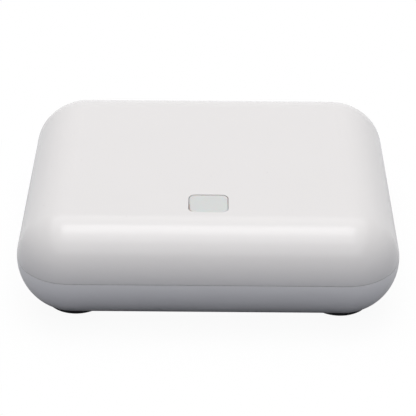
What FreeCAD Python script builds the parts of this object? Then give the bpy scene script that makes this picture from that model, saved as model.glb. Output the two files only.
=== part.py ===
import FreeCAD
import Part
import math
import os

# Alarm hub: a low white box with soft rounded edges, a lit push key in its top, sockets in a
# recess at the back, and a battery door between four rubber feet underneath.
# Millimetres. The origin is on the table under the middle of the hub, +X is to its right,
# +Y to its back and +Z up. The key is nearer the front.

# Overall form
overall_width = 125.0
overall_depth = 105.0
overall_height = 35.0
waist_height = 18.6          # the widest line of the body
top_rounding = 17.5          # how far the upper rounding reaches in from the sides
bottom_rounding = 18.0       # how far the lower rounding would reach in, down on the table
corner_flat = 0.3            # what the plan corner keeps beyond the larger rounding
corner_radius = max(top_rounding, bottom_rounding) + corner_flat
same_place = 1e-6            # two coordinates this near are the same

# Shells
seam_height = 19.6
seam_gap = 0.1
cover_wall = 2.2
base_wall = 2.4
foot_standout = 2.6          # the base's flat underside stands this high
floor_thickness = 2.4
lip_height = 1.6
lip_wall = 1.05
lip_clearance = 0.15

# Clearances
moving_clearance = 0.3
running_clearance = 0.05
seat_clearance = 0.05
port_clearance = 0.2

# Rubber feet
foot_radius = 10.5
foot_seat_depth = 0.6
foot_seat_clearance = 0.1
foot_edge_rounding = 0.4
foot_gap_side = 1.7          # from the battery bay's wall to the foot's rim
foot_margin_front = 1.5      # from the foot's rim to the edge of the flat underside

# Case screws, in posts above the feet
screw_thread_radius = 1.5
screw_length = 20.0
screw_head_radius = 2.8
screw_head_height = 2.0
screw_head_clearance = 0.3
screw_hole_clearance = 0.25
screw_seat_height = 9.0
screw_slot_width = 0.7
screw_slot_length = 3.4
screw_slot_depth = 1.1
post_radius = 4.4
boss_radius = 3.6

# Main board
board_thickness = 1.6
board_side_margin = 10.5     # from the widest line of the hub to the board
board_front_margin = 5.0
board_back_gap = 0.9         # from the port wall to the board
board_corner_radius = 11.0

# Battery cells and their bay
cell_radius = 7.25
cell_length = 50.5
cell_nub_radius = 2.75
cell_nub_length = 1.3
cell_edge_rounding = 0.6
cell_count = 4
cell_gap = 0.3
contact_plate_thickness = 0.4
contact_plate_height = 10.0
contact_plate_width = 9.0
spring_length = 4.6
spring_wire_radius = 0.35
spring_coil_radius = 3.6
spring_turns = 3.0
bay_wall = 1.5
bay_roof = 1.2

# Battery door
door_thickness = 2.0
door_barrel_radius = 1.1
door_pin_radius = 0.75
door_pin_length = 1.2
door_front_overhang = 3.5    # how far the door runs past the bay's front wall
door_tongue_width = 12.0
door_tongue_thickness = 1.2
door_tongue_height = 4.2
door_bead_height = 1.0
door_bead_reach = 0.6
door_tongue_setback = 0.8    # from the door's front edge to its tongue
door_groove_depth = 0.25
door_groove_width = 0.8
door_groove_count = 4
door_panel_width = 42.0      # a shallow bare panel in the door's outer face
door_panel_depth = 26.0
door_panel_sink = 0.2
door_panel_corner_radius = 2.0
finger_scoop_width = 16.0
finger_scoop_length = 3.0
finger_scoop_depth = 1.3

# Port recess at the back
recess_setback = 6.0
recess_width = 60.0
recess_bottom = 6.4
recess_top = 23.6
recess_corner_radius = 4.0
port_wall = 2.0
port_setback = 0.1           # the sockets' faces stand this far behind the recess wall

# Ethernet socket
ethernet_x = -16.0
ethernet_width = 16.0
ethernet_length = 21.3
ethernet_height = 13.4
ethernet_shield_wall = 0.4
plug_way_width = 11.8
plug_way_height = 7.0
plug_way_length = 13.0
plug_latch_width = 6.2
plug_latch_height = 1.2
ethernet_sill = 2.2          # insulator under the plug's way
contact_bay_width = 9.4
contact_bay_height = 2.4
wire_count = 8
wire_pitch = 1.02
wire_width = 0.45
wire_thickness = 0.35
wire_drop_angle = 30.0
wire_drop_length = 7.6
wire_front_margin = 2.4
indicator_width = 2.0
indicator_height = 1.5
indicator_length = 3.0
indicator_offset = 6.3

# Power jack
jack_x = 6.0
jack_width = 9.0
jack_length = 14.4
jack_height = 11.0
jack_axis_drop = 6.5         # from the board to the jack's axis
jack_bore_radius = 3.2
jack_bore_depth = 10.5
jack_pin_radius = 1.0
jack_pin_length = 9.9
jack_pin_tip_rounding = 0.4
jack_tail_radius = 0.8
jack_leg_thickness = 0.4
jack_leg_width = 2.0
jack_leaf_thickness = 0.3
jack_leaf_width = 1.8
jack_leaf_reach = 0.35       # how far the leaf stands into the bore
jack_leaf_length = 8.0

# Push switches, one under the key and one behind the reset hole
switch_size = 6.0
switch_corner_radius = 0.5
switch_height = 3.5
switch_plunger_radius = 1.75
switch_flange_radius = 2.2
switch_flange_thickness = 0.7
switch_lid = 0.9
status_switch_total = 5.0
reset_switch_total = 7.0
reset_x = 20.0
reset_axis_drop = 4.6        # from the board to the reset button's axis
reset_tip_setback = 0.8
reset_hole_clearance = 0.35
status_travel = 0.4
reset_travel = 0.3

# Lit key in the top
window_width = 12.9
window_depth = 10.4
window_y = -28.2
window_corner_radius = 2.2
window_edge_rounding = 0.2
key_recess = 0.12
key_edge_rounding = 0.2
key_side_clearance = 0.12    # the key runs closely in its window
key_flange_reach = 0.8
key_flange_thickness = 1.0
key_stem_radius = 1.6
key_collar_wall = 1.0
key_collar_height = 1.8
shroud_wall = 1.0
shroud_peg_radius = 0.7
shroud_peg_length = 1.2
shroud_peg_offset_x = 4.0
peg_clearance = 0.1
led_length = 2.8
led_width = 1.8
led_height = 0.9
led_corner_radius = 0.2
led_dish_radius = 0.75
led_dish_depth = 0.3
led_offset_x = 5.0
led_offset_y = 2.9

# Siren
siren_radius = 7.0
siren_height = 8.0
siren_wall = 0.8
siren_margin = 16.3          # from the widest line of the hub to the siren's axis
siren_y = 0.0
siren_port_radius = 2.0
siren_ring_wall = 0.8
siren_ring_height = 2.0
siren_ring_clearance = 0.2
siren_disc_radius = 5.8
siren_disc_thickness = 0.5
siren_disc_height = 4.0
siren_disc_ledge = 1.0
slot_count = 5
slot_pitch = 2.4
slot_width = 1.2
slot_reach = 5.6

# Leads and their connectors
lead_radius = 0.55
lead_pitch = 2.5
connector_width = 7.0
connector_depth = 6.0
connector_height = 5.5
connector_corner_radius = 0.4
connector_notch_width = 3.4
connector_notch_depth = 1.2
connector_notch_height = 2.8
connector_wire_height = 1.5  # from the connector's bottom to its wires
siren_connector_y = 16.0
siren_lead_y = 3.4
siren_lead_bend = 2.5
tab_width = 3.0
tab_standout = 0.8
tab_drop = 4.0               # from the bay's ceiling to the tab
battery_lead_bend = 1.4
battery_lead_run_out = 1.7

# Parts on top of the board
can_x = -21.0
can_y = 4.0
can_width = 34.0
can_depth = 28.0
can_height = 2.8
can_wall = 0.3
can_corner_radius = 1.0
processor_size = 14.0
processor_height = 1.2
memory_width = 8.0
memory_depth = 11.0
chip_gap = 4.0
chip_corner_radius = 0.4
radio_x = 28.0
radio_y = 4.0
radio_width = 18.0
radio_depth = 25.0
radio_board_thickness = 0.8
radio_lid_height = 2.2
radio_lid_margin = 1.0
radio_antenna_strip = 6.0
antenna_margin = 3.0         # from the board's left edge
antenna_y = 4.0
antenna_length = 22.0
antenna_height = 5.0
antenna_width = 4.0
antenna_thickness = 0.4
capacitor_radius = 3.1
capacitor_height = 5.6
capacitor_base = 1.0
capacitor_rounding = 0.6
capacitor_pitch = 8.0
capacitor_x = 2.0
capacitor_y = 33.0
capacitor_count = 3
inductor_size = 7.0
inductor_height = 4.0
inductor_corner_radius = 1.6
inductor_x = 30.0
inductor_y = 33.0

# Heights and places that follow from the sizes above
underside = foot_standout
floor_top = underside + floor_thickness
door_top = underside + door_thickness
cell_axis_z = door_top + moving_clearance + cell_radius
bay_ceiling = cell_axis_z + cell_radius + cell_gap
bay_top = bay_ceiling + bay_roof
board_bottom = bay_top + moving_clearance
board_top = board_bottom + board_thickness
ceiling = overall_height - cover_wall
base_top = seam_height - seam_gap
lip_top = seam_height + lip_height

half_width = overall_width / 2
half_depth = overall_depth / 2
recess_face = half_depth - recess_setback
port_wall_inner = recess_face - port_wall
socket_face = recess_face - port_setback
board_front = -half_depth + board_front_margin
board_half_width = half_width - board_side_margin
board_back = port_wall_inner - board_back_gap

bay_back_outer = socket_face - ethernet_length - 10 * seat_clearance
bay_back = bay_back_outer - bay_wall
bay_length = cell_length + spring_length + 2 * contact_plate_thickness
bay_front = bay_back - bay_length
bay_front_outer = bay_front - bay_wall
siren_x = half_width - siren_margin
cell_pitch = 2 * cell_radius + cell_gap
bay_half_width = cell_count * cell_pitch / 2 + cell_gap
bay_half_outer = bay_half_width + bay_wall
tab_z = bay_ceiling - tab_drop

hinge_y = bay_back - door_barrel_radius - moving_clearance
hinge_z = underside + door_barrel_radius
door_front = bay_front_outer - door_front_overhang
door_half_width = bay_half_width - moving_clearance

key_width = window_width - 2 * key_side_clearance
key_depth = window_depth - 2 * key_side_clearance
flange_width = key_width + 2 * key_flange_reach
flange_depth = key_depth + 2 * key_flange_reach
flange_top = ceiling - moving_clearance
flange_bottom = flange_top - key_flange_thickness
collar_bottom = ceiling - key_collar_height
shroud_width = flange_width + 2 * moving_clearance + 2 * shroud_wall
shroud_depth = flange_depth + 2 * moving_clearance + 2 * shroud_wall
shroud_top = collar_bottom - moving_clearance

reset_axis_z = board_bottom - reset_axis_drop
jack_axis_z = board_bottom - jack_axis_drop


def bottom_inset(height):
    """How far the lower rounding has drawn in at a height: a quarter of an ellipse."""
    share = 1 - height / waist_height
    return bottom_rounding * (1 - math.sqrt(1 - share * share))


foot_x = bay_half_outer + foot_gap_side + foot_radius
foot_y = half_depth - bottom_inset(underside) - foot_margin_front - foot_radius
corner_places = [(sx * foot_x, sy * foot_y) for sx in (-1, 1) for sy in (-1, 1)]


def point(x, y, z):
    return FreeCAD.Vector(x, y, z)


def block(x0, x1, y0, y1, z0, z1):
    return Part.makeBox(x1 - x0, y1 - y0, z1 - z0, point(x0, y0, z0))


def rod(x, y, z0, z1, radius):
    return Part.makeCylinder(radius, z1 - z0, point(x, y, z0), point(0, 0, 1))


def rod_along_y(x, z, y0, y1, radius):
    return Part.makeCylinder(radius, y1 - y0, point(x, y0, z), point(0, 1, 0))


def rod_along_x(y, z, x0, x1, radius):
    return Part.makeCylinder(radius, x1 - x0, point(x0, y, z), point(1, 0, 0))


def slab(z0, z1):
    """Everything between two heights, wider than the hub."""
    return block(-overall_width, overall_width, -overall_depth, overall_depth, z0, z1)


def rounded_outline(width, depth, radius):
    """A rectangle with round corners around the origin, flat on z = 0."""
    x = width / 2
    y = depth / 2
    r = min(radius, 0.49 * min(width, depth))
    slant = r * (1 - math.sqrt(0.5))
    edges = []
    inner_x = x - slant
    inner_y = y - slant
    starts = [(x, -y + r), (x - r, y), (-x, y - r), (-x + r, -y)]
    ends = [(x, y - r), (-x + r, y), (-x, -y + r), (x - r, -y)]
    middles = [(inner_x, inner_y), (-inner_x, inner_y), (-inner_x, -inner_y), (inner_x, -inner_y)]
    for side in range(4):
        start = point(starts[side][0], starts[side][1], 0)
        end = point(ends[side][0], ends[side][1], 0)
        middle = point(middles[side][0], middles[side][1], 0)
        next_start = point(starts[(side + 1) % 4][0], starts[(side + 1) % 4][1], 0)
        edges.append(Part.LineSegment(start, end).toShape())
        edges.append(Part.Arc(end, middle, next_start).toShape())
    return Part.Wire(edges)


def rounded_block(x, y, width, depth, radius, z0, z1):
    """A block with round upright corners, centred on x and y."""
    face = Part.Face(rounded_outline(width, depth, radius))
    face.translate(point(x, y, z0))
    return face.extrude(point(0, 0, z1 - z0))


def polygon_block(corners, thickness):
    """A flat many-sided piece from its corners in order, thick along a vector."""
    face = Part.Face(Part.makePolygon(corners + corners[:1]))
    return face.extrude(thickness)


def edges_at_height(shape, height):
    """The edges that lie wholly in one level plane."""
    found = []
    for edge in shape.Edges:
        bounds = edge.BoundBox
        if max(abs(bounds.ZMin - height), abs(bounds.ZMax - height)) < same_place:
            found.append(edge)
    return found


def quarter_curve(start, corner, end):
    """An exact quarter of an ellipse that leaves start and reaches end, both towards corner."""
    curve = Part.BezierCurve()
    curve.setPoles([start, corner, end])
    curve.setWeight(2, math.sqrt(0.5))
    return curve.toShape()


def body_form(inset):
    """The whole soft box, drawn in by inset on every side.

    One upright profile, a lower and an upper quarter ellipse, is carried round a rectangle of
    corner centres: turned through a quarter at each corner and drawn straight along each side.
    """
    centre_x = half_width - corner_radius
    centre_y = half_depth - corner_radius
    reach = corner_radius - inset
    low = inset
    high = overall_height - inset
    low_flat = corner_radius - bottom_rounding
    high_flat = corner_radius - top_rounding
    profile = Part.Wire([
        Part.LineSegment(point(0, 0, low), point(low_flat, 0, low)).toShape(),
        quarter_curve(point(low_flat, 0, low), point(reach, 0, low), point(reach, 0, waist_height)),
        quarter_curve(point(reach, 0, waist_height), point(reach, 0, high), point(high_flat, 0, high)),
        Part.LineSegment(point(high_flat, 0, high), point(0, 0, high)).toShape(),
        Part.LineSegment(point(0, 0, high), point(0, 0, low)).toShape(),
    ])
    face = Part.Face(profile)
    pieces = []
    for quarter in range(4):
        turn = 90.0 * quarter
        across = (centre_x, centre_y)[quarter % 2]
        along = (centre_y, centre_x)[quarter % 2]
        side = face.copy()
        side.translate(point(across, -along, 0))
        side = side.extrude(point(0, 2 * along, 0))
        corner = face.revolve(point(0, 0, 0), point(0, 0, 1), 90.0)
        corner.translate(point(across, along, 0))
        for piece in (side, corner):
            piece.rotate(point(0, 0, 0), point(0, 0, 1), turn)
            pieces.append(piece)
    core = block(-centre_x, centre_x, -centre_y, centre_y, low, high)
    return core.multiFuse(pieces).removeSplitter()


def port_cutter(x, width, height):
    """The way through the port wall for a socket that hangs under the board, with room round it."""
    half = width / 2 + port_clearance
    return block(x - half, x + half, port_wall_inner - port_wall, half_depth,
                 board_bottom - height - port_clearance, board_bottom + port_clearance)


def port_block(z0, z1, outer):
    """The solid part of a shell that the port recess is cut into."""
    half = recess_width / 2 + port_wall
    solid = block(-half, half, port_wall_inner, half_depth, recess_bottom - port_wall, recess_top + port_wall)
    return solid.common(slab(z0, z1)).common(outer)


def port_recess():
    """The recess at the back, a rounded block laid on its side."""
    height = recess_top - recess_bottom
    cutter = rounded_block(0, 0, recess_width, height, recess_corner_radius, 0, recess_setback * 2)
    cutter.rotate(point(0, 0, 0), point(1, 0, 0), -90.0)
    cutter.translate(point(0, recess_face, recess_bottom + height / 2))
    return cutter


def socket_openings():
    ethernet = port_cutter(ethernet_x, ethernet_width, ethernet_height)
    jack = port_cutter(jack_x, jack_width, jack_height)
    reset = rod_along_y(reset_x, reset_axis_z, port_wall_inner - port_wall, half_depth,
                        switch_plunger_radius + reset_hole_clearance)
    return [ethernet, jack, reset]


def top_cover(outer):
    shell = outer.common(slab(seam_height, overall_height + cover_wall))
    shell = shell.cut(body_form(cover_wall))
    rebate = body_form(base_wall - lip_wall - lip_clearance).common(slab(seam_height - lip_height, lip_top))
    shell = shell.cut(rebate)
    bosses = [rod(x, y, board_top, ceiling, boss_radius) for x, y in corner_places]
    collar = rounded_block(0, window_y, shroud_width, shroud_depth, window_corner_radius,
                           collar_bottom, ceiling)
    collar = collar.cut(rounded_block(0, window_y, shroud_width - 2 * key_collar_wall,
                                      shroud_depth - 2 * key_collar_wall, window_corner_radius,
                                      collar_bottom, ceiling))
    shell = shell.multiFuse(bosses + [collar, port_block(seam_height, overall_height, outer)])
    window = rounded_block(0, window_y, window_width, window_depth, window_corner_radius,
                           ceiling - cover_wall, overall_height + cover_wall)
    pilots = [rod(x, y, board_bottom, ceiling, screw_thread_radius + running_clearance)
              for x, y in corner_places]
    cover = shell.cut([window, port_recess()] + socket_openings() + pilots)
    rim = [e for e in edges_at_height(cover, overall_height)
           if abs(e.CenterOfMass.y - window_y) < window_depth and abs(e.CenterOfMass.x) < window_width]
    return cover.makeFillet(window_edge_rounding, rim)


def base_lip():
    """The raised tongue that lines the cover up, left out behind the port recess."""
    ring = body_form(base_wall - lip_wall).cut(body_form(base_wall))
    ring = ring.common(slab(base_top - lip_height, lip_top))
    half = recess_width / 2 + port_wall + lip_clearance
    return ring.cut(block(-half, half, 0, half_depth, base_top, lip_top))


def battery_bay():
    """The upside-down box over the cells, open below."""
    bay = block(-bay_half_outer, bay_half_outer, bay_front_outer, bay_back_outer, underside, bay_top)
    return bay.cut(block(-bay_half_width, bay_half_width, bay_front, bay_back, 0, bay_ceiling))


def siren_slots():
    """Round-ended slots under the siren, as long as its round face allows."""
    slots = []
    for index in range(slot_count):
        y = siren_y + (index - (slot_count - 1) / 2) * slot_pitch
        half = math.sqrt(max(slot_reach * slot_reach - (y - siren_y) ** 2, slot_width * slot_width))
        slots.append(rounded_block(siren_x, y, 2 * half, slot_width, slot_width / 2, 0, floor_top))
    return slots


def base_tray(outer):
    shell = outer.common(slab(underside, base_top))
    shell = shell.cut(body_form(base_wall).common(slab(floor_top, overall_height)))
    posts = [rod(x, y, underside + foot_seat_depth, board_bottom, post_radius) for x, y in corner_places]
    siren_ring = rod(siren_x, siren_y, underside, floor_top + siren_ring_height,
                     siren_radius + siren_ring_clearance + siren_ring_wall)
    port_part = port_block(underside, base_top, outer)
    shell = shell.multiFuse([base_lip(), battery_bay(), siren_ring, port_part] + posts)
    cutters = [port_recess()] + socket_openings() + siren_slots()
    cutters.append(rod(siren_x, siren_y, floor_top, floor_top + siren_height,
                       siren_radius + siren_ring_clearance))
    for x, y in corner_places:
        cutters.append(rod(x, y, 0, underside + foot_seat_depth, foot_radius + foot_seat_clearance))
        cutters.append(rod(x, y, underside, screw_seat_height, screw_head_radius + screw_head_clearance))
        cutters.append(rod(x, y, underside, board_top, screw_thread_radius + screw_hole_clearance))
    cutters.append(block(-bay_half_width, bay_half_width, door_front - moving_clearance, bay_back,
                         0, floor_top))
    cutters.append(rod_along_x(hinge_y, hinge_z, -bay_half_width - door_pin_length - moving_clearance,
                               bay_half_width + door_pin_length + moving_clearance,
                               door_pin_radius + running_clearance))
    cutters.append(rounded_block(0, door_front, finger_scoop_width,
                                 2 * (finger_scoop_length + moving_clearance), finger_scoop_length,
                                 0, underside + finger_scoop_depth))
    for tab_x in (-terminal_x(), terminal_x()):
        cutters.append(block(tab_x - tab_width / 2 - seat_clearance, tab_x + tab_width / 2 + seat_clearance,
                             bay_front_outer - bay_wall, bay_front + contact_plate_thickness,
                             tab_z - seat_clearance, tab_z + contact_plate_thickness + seat_clearance))
    return shell.cut(cutters)


def rubber_foot(x, y):
    foot = rod(x, y, 0, underside + foot_seat_depth, foot_radius)
    return foot.makeFillet(foot_edge_rounding, edges_at_height(foot, 0))


def case_screw(x, y):
    """A pan head screw from below, with a cross slot in its head."""
    low = screw_seat_height - screw_head_height
    head = rod(x, y, low, screw_seat_height, screw_head_radius)
    head = head.makeFillet(screw_head_height / 2, edges_at_height(head, low))
    shank = rod(x, y, screw_seat_height, screw_seat_height + screw_length, screw_thread_radius)
    long = screw_slot_length / 2
    short = screw_slot_width / 2
    slots = [block(x - half_x, x + half_x, y - half_y, y + half_y, low, low + screw_slot_depth)
             for half_x, half_y in ((long, short), (short, long))]
    return head.fuse(shank).cut(slots)


def main_board():
    depth = board_back - board_front
    middle = (board_back + board_front) / 2
    board = rounded_block(0, middle, 2 * board_half_width, depth, board_corner_radius,
                          board_bottom, board_top)
    screw_hole = screw_thread_radius + screw_hole_clearance
    peg_hole = shroud_peg_radius + peg_clearance
    holes = [rod(x, y, board_bottom, board_top, screw_hole) for x, y in corner_places]
    holes += [rod(x, y, board_bottom, board_top, peg_hole) for x, y in peg_places()]
    return board.cut(holes)


def cell_x(index):
    return (index - (cell_count - 1) / 2) * cell_pitch


def terminal_x():
    """The first and the last cell carry the battery's two terminals."""
    return cell_x(cell_count - 1)


def nub_in_front(index):
    return index % 2 == 0


def battery_cell(index):
    """A round cell along Y with its nub on the plate in front, or turned round."""
    body_length = cell_length - cell_nub_length
    cell = rod(0, 0, 0, body_length, cell_radius)
    rims = edges_at_height(cell, 0) + edges_at_height(cell, body_length)
    cell = cell.makeFillet(cell_edge_rounding, rims)
    cell = cell.fuse(rod(0, 0, body_length - cell_edge_rounding, cell_length, cell_nub_radius))
    if nub_in_front(index):
        cell.rotate(point(0, 0, 0), point(1, 0, 0), 90.0)
        start = bay_front + contact_plate_thickness + cell_length
    else:
        cell.rotate(point(0, 0, 0), point(1, 0, 0), -90.0)
        start = bay_back - contact_plate_thickness - cell_length
    cell.translate(point(cell_x(index), start, cell_axis_z))
    return cell


def battery_spring(index):
    """A coil along Y between a contact plate and the flat end of its cell."""
    height = spring_length - 2 * spring_wire_radius - 2 * seat_clearance
    path = Part.makeHelix(height / spring_turns, height, spring_coil_radius)
    start = path.Edges[0]
    place = start.valueAt(start.FirstParameter)
    direction = start.tangentAt(start.FirstParameter)
    section = Part.Wire([Part.Circle(place, direction, spring_wire_radius).toShape()])
    coil = Part.Wire(path.Edges).makePipeShell([section], True, True)
    offset = contact_plate_thickness + spring_wire_radius + seat_clearance
    if nub_in_front(index):
        coil.rotate(point(0, 0, 0), point(1, 0, 0), 90.0)
        end_y = bay_back - offset
    else:
        coil.rotate(point(0, 0, 0), point(1, 0, 0), -90.0)
        end_y = bay_front + offset
    coil.translate(point(cell_x(index), end_y, cell_axis_z))
    return coil


def contact_plate(x0, x1, y):
    return block(x0, x1, y, y + contact_plate_thickness, cell_axis_z - contact_plate_height / 2,
                 cell_axis_z + contact_plate_height / 2)


def contact_plates():
    """Two terminal plates and one bridge in front, and two bridges at the back."""
    half = contact_plate_width / 2
    plates = []
    for sign in (-1, 1):
        x = sign * terminal_x()
        plate = contact_plate(x - half, x + half, bay_front)
        tab = block(x - tab_width / 2, x + tab_width / 2, bay_front_outer - tab_standout,
                    bay_front + contact_plate_thickness, tab_z, tab_z + contact_plate_thickness)
        plates.append(plate.fuse(tab))
    for first in range(0, cell_count, 2):
        back_y = bay_back - contact_plate_thickness
        plates.append(contact_plate(cell_x(first) - half, cell_x(first + 1) + half, back_y))
    for first in range(1, cell_count - 1, 2):
        plates.append(contact_plate(cell_x(first) - half, cell_x(first + 1) + half, bay_front))
    return plates


def battery_door():
    """A flat door that turns on two stub pins at its back and has a springy tongue in front."""
    panel = block(-door_half_width, door_half_width, door_front, hinge_y, underside, door_top)
    barrel = rod_along_x(hinge_y, hinge_z, -door_half_width, door_half_width, door_barrel_radius)
    pins = rod_along_x(hinge_y, hinge_z, -bay_half_width - door_pin_length, bay_half_width + door_pin_length,
                       door_pin_radius)
    half = door_tongue_width / 2
    tongue_front = door_front + door_tongue_setback
    tongue = block(-half, half, tongue_front, tongue_front + door_tongue_thickness, door_top,
                   door_top + door_tongue_height)
    bead_low = door_top + door_tongue_height - 2 * door_bead_height
    bead = polygon_block([point(-half, tongue_front, bead_low),
                          point(-half, tongue_front - door_bead_reach, bead_low + door_bead_height),
                          point(-half, tongue_front, bead_low + 2 * door_bead_height)],
                         point(2 * half, 0, 0))
    door = panel.multiFuse([barrel, pins, tongue, bead])
    panel_y = (door_front + hinge_y) / 2
    cuts = [rounded_block(0, panel_y, door_panel_width, door_panel_depth, door_panel_corner_radius,
                          underside, underside + door_panel_sink)]
    for index in range(door_groove_count):
        y = door_front + (2 * index + 2) * door_groove_width
        cuts.append(block(-half, half, y, y + door_groove_width, underside, underside + door_groove_depth))
    return door.cut(cuts).removeSplitter()


def push_switch_body(travel):
    """A square switch standing on z = 0, with a hollow for the plunger's flange."""
    body = rounded_block(0, 0, switch_size, switch_size, switch_corner_radius, 0, switch_height)
    hollow_low = switch_height - switch_lid - 2 * moving_clearance - switch_flange_thickness - travel
    hollow = rod(0, 0, hollow_low, switch_height - switch_lid, switch_flange_radius + moving_clearance)
    way = rod(0, 0, hollow_low, switch_height, switch_plunger_radius + running_clearance)
    return body.cut([hollow, way])


def push_switch_plunger(total_height):
    """The moving button, held by a flange under the switch's lid."""
    flange_high = switch_height - switch_lid - moving_clearance
    flange = rod(0, 0, flange_high - switch_flange_thickness, flange_high, switch_flange_radius)
    return flange.fuse(rod(0, 0, flange_high - switch_flange_thickness, total_height, switch_plunger_radius))


def place_status_switch(shape):
    shape.translate(point(0, window_y, board_top))
    return shape


def place_reset_switch(shape):
    """Turns an upright switch so that its button points to the back of the hub."""
    shape.rotate(point(0, 0, 0), point(1, 0, 0), -90.0)
    shape.translate(point(reset_x, recess_face - reset_tip_setback - reset_switch_total, reset_axis_z))
    return shape


def reset_switch_body():
    """The switch and the bracket that hangs it from the board."""
    body = place_reset_switch(push_switch_body(reset_travel))
    back = recess_face - reset_tip_setback - reset_switch_total
    bracket = block(reset_x - switch_size / 2, reset_x + switch_size / 2, back, back + switch_height,
                    reset_axis_z + switch_size / 2 - switch_corner_radius, board_bottom)
    return body.fuse(bracket).removeSplitter()


def status_key():
    """A clear cap in the window, with a flange that keeps it in and a stem down to its switch."""
    cap_top = overall_height - key_recess
    cap = rounded_block(0, window_y, key_width, key_depth, window_corner_radius - key_side_clearance,
                        flange_bottom, cap_top)
    cap = cap.makeFillet(key_edge_rounding, edges_at_height(cap, cap_top))
    flange = rounded_block(0, window_y, flange_width, flange_depth, window_corner_radius,
                           flange_bottom, flange_top)
    stem = rod(0, window_y, board_top + status_switch_total, flange_top, key_stem_radius)
    return cap.multiFuse([flange, stem]).removeSplitter()


def peg_places():
    y = (shroud_depth - shroud_wall) / 2
    return [(shroud_peg_offset_x, window_y + y), (-shroud_peg_offset_x, window_y - y)]


def light_shroud():
    """A white frame that keeps the light of the lamps under the key."""
    frame = rounded_block(0, window_y, shroud_width, shroud_depth, window_corner_radius,
                          board_top, shroud_top)
    inside = rounded_block(0, window_y, shroud_width - 2 * shroud_wall, shroud_depth - 2 * shroud_wall,
                           window_corner_radius, board_top, shroud_top)
    pegs = [rod(x, y, board_top - shroud_peg_length, board_top + shroud_wall, shroud_peg_radius)
            for x, y in peg_places()]
    return frame.multiFuse(pegs).cut(inside)


def status_lamp(x, y):
    """A lamp with a shallow dish in its top that the light leaves from."""
    high = board_top + led_height
    lamp = rounded_block(x, window_y + y, led_width, led_length, led_corner_radius, board_top, high)
    dish = Part.makeCone(led_dish_radius - led_dish_depth, led_dish_radius, led_dish_depth,
                         point(x, window_y + y, high - led_dish_depth), point(0, 0, 1))
    return lamp.cut(dish)


def ethernet_shield():
    low = board_bottom - ethernet_height
    half = ethernet_width / 2
    wall = ethernet_shield_wall
    back = socket_face - ethernet_length
    can = block(ethernet_x - half, ethernet_x + half, back, socket_face, low, board_bottom)
    return can.cut(block(ethernet_x - half + wall, ethernet_x + half - wall, back + wall, half_depth,
                         low + wall, board_bottom - wall))


def plug_way_low():
    return board_bottom - ethernet_height + ethernet_shield_wall + ethernet_sill


def indicator_places():
    z = board_bottom - ethernet_shield_wall - indicator_height
    return [(ethernet_x + sign * indicator_offset, z) for sign in (-1, 1)]


def ethernet_insert():
    """The socket's insulator: a block with the plug's way, its latch groove and the wires' bay."""
    gap = ethernet_shield_wall + seat_clearance
    half = ethernet_width / 2 - gap
    back = socket_face - ethernet_length + gap
    low = board_bottom - ethernet_height + gap
    high = board_bottom - gap
    body = block(ethernet_x - half, ethernet_x + half, back, socket_face, low, high)
    way_back = socket_face - plug_way_length
    way_low = plug_way_low()
    way_high = way_low + plug_way_height
    way = block(ethernet_x - plug_way_width / 2, ethernet_x + plug_way_width / 2, way_back, half_depth,
                way_low, way_high)
    latch = block(ethernet_x - plug_latch_width / 2, ethernet_x + plug_latch_width / 2, way_back, half_depth,
                  way_low - plug_latch_height, way_low)
    bay = block(ethernet_x - contact_bay_width / 2, ethernet_x + contact_bay_width / 2, way_back,
                socket_face - wire_front_margin + 2 * wire_thickness, way_high, way_high + contact_bay_height)
    seats = [block(x - indicator_width / 2 - seat_clearance, x + indicator_width / 2 + seat_clearance,
                   socket_face - indicator_length - seat_clearance, half_depth,
                   z - indicator_height / 2 - seat_clearance, z + indicator_height / 2 + seat_clearance)
             for x, z in indicator_places()]
    return body.cut([way, latch, bay] + seats)


def ethernet_indicator(x, z):
    """A clear stub flush with the socket's face, which shows a lamp behind it."""
    half_x = indicator_width / 2
    half_z = indicator_height / 2
    return block(x - half_x, x + half_x, socket_face - indicator_length, socket_face, z - half_z, z + half_z)


def ethernet_wire(index):
    """One gold wire: a straight run under the bay's roof, then back and down into the plug's way."""
    x = ethernet_x + (index - (wire_count - 1) / 2) * wire_pitch
    high = plug_way_low() + plug_way_height + contact_bay_height - seat_clearance
    front = socket_face - wire_front_margin
    back = socket_face - plug_way_length + seat_clearance
    run = block(x - wire_width / 2, x + wire_width / 2, back, front, high - wire_thickness, high)
    drop = block(-wire_width / 2, wire_width / 2, -wire_drop_length, 0, -wire_thickness, 0)
    drop.rotate(point(0, 0, 0), point(1, 0, 0), wire_drop_angle)
    drop.translate(point(x, front, high))
    return run.fuse(drop).removeSplitter()


def power_jack_housing():
    low = board_bottom - jack_height
    half = jack_width / 2
    back = socket_face - jack_length
    body = block(jack_x - half, jack_x + half, back, socket_face, low, board_bottom)
    bore_floor = socket_face - jack_bore_depth
    bore = rod_along_y(jack_x, jack_axis_z, bore_floor, half_depth, jack_bore_radius)
    tail = rod_along_y(jack_x, jack_axis_z, back, bore_floor, jack_tail_radius + seat_clearance)
    leaf_half = jack_leaf_width / 2 + seat_clearance
    leaf_end = bore_floor + jack_leaf_length + seat_clearance
    leaf_seat = block(jack_x - leaf_half, jack_x + leaf_half, bore_floor, leaf_end,
                      leaf_low() - seat_clearance, jack_axis_z)
    return body.cut([bore, tail, leaf_seat])


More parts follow.
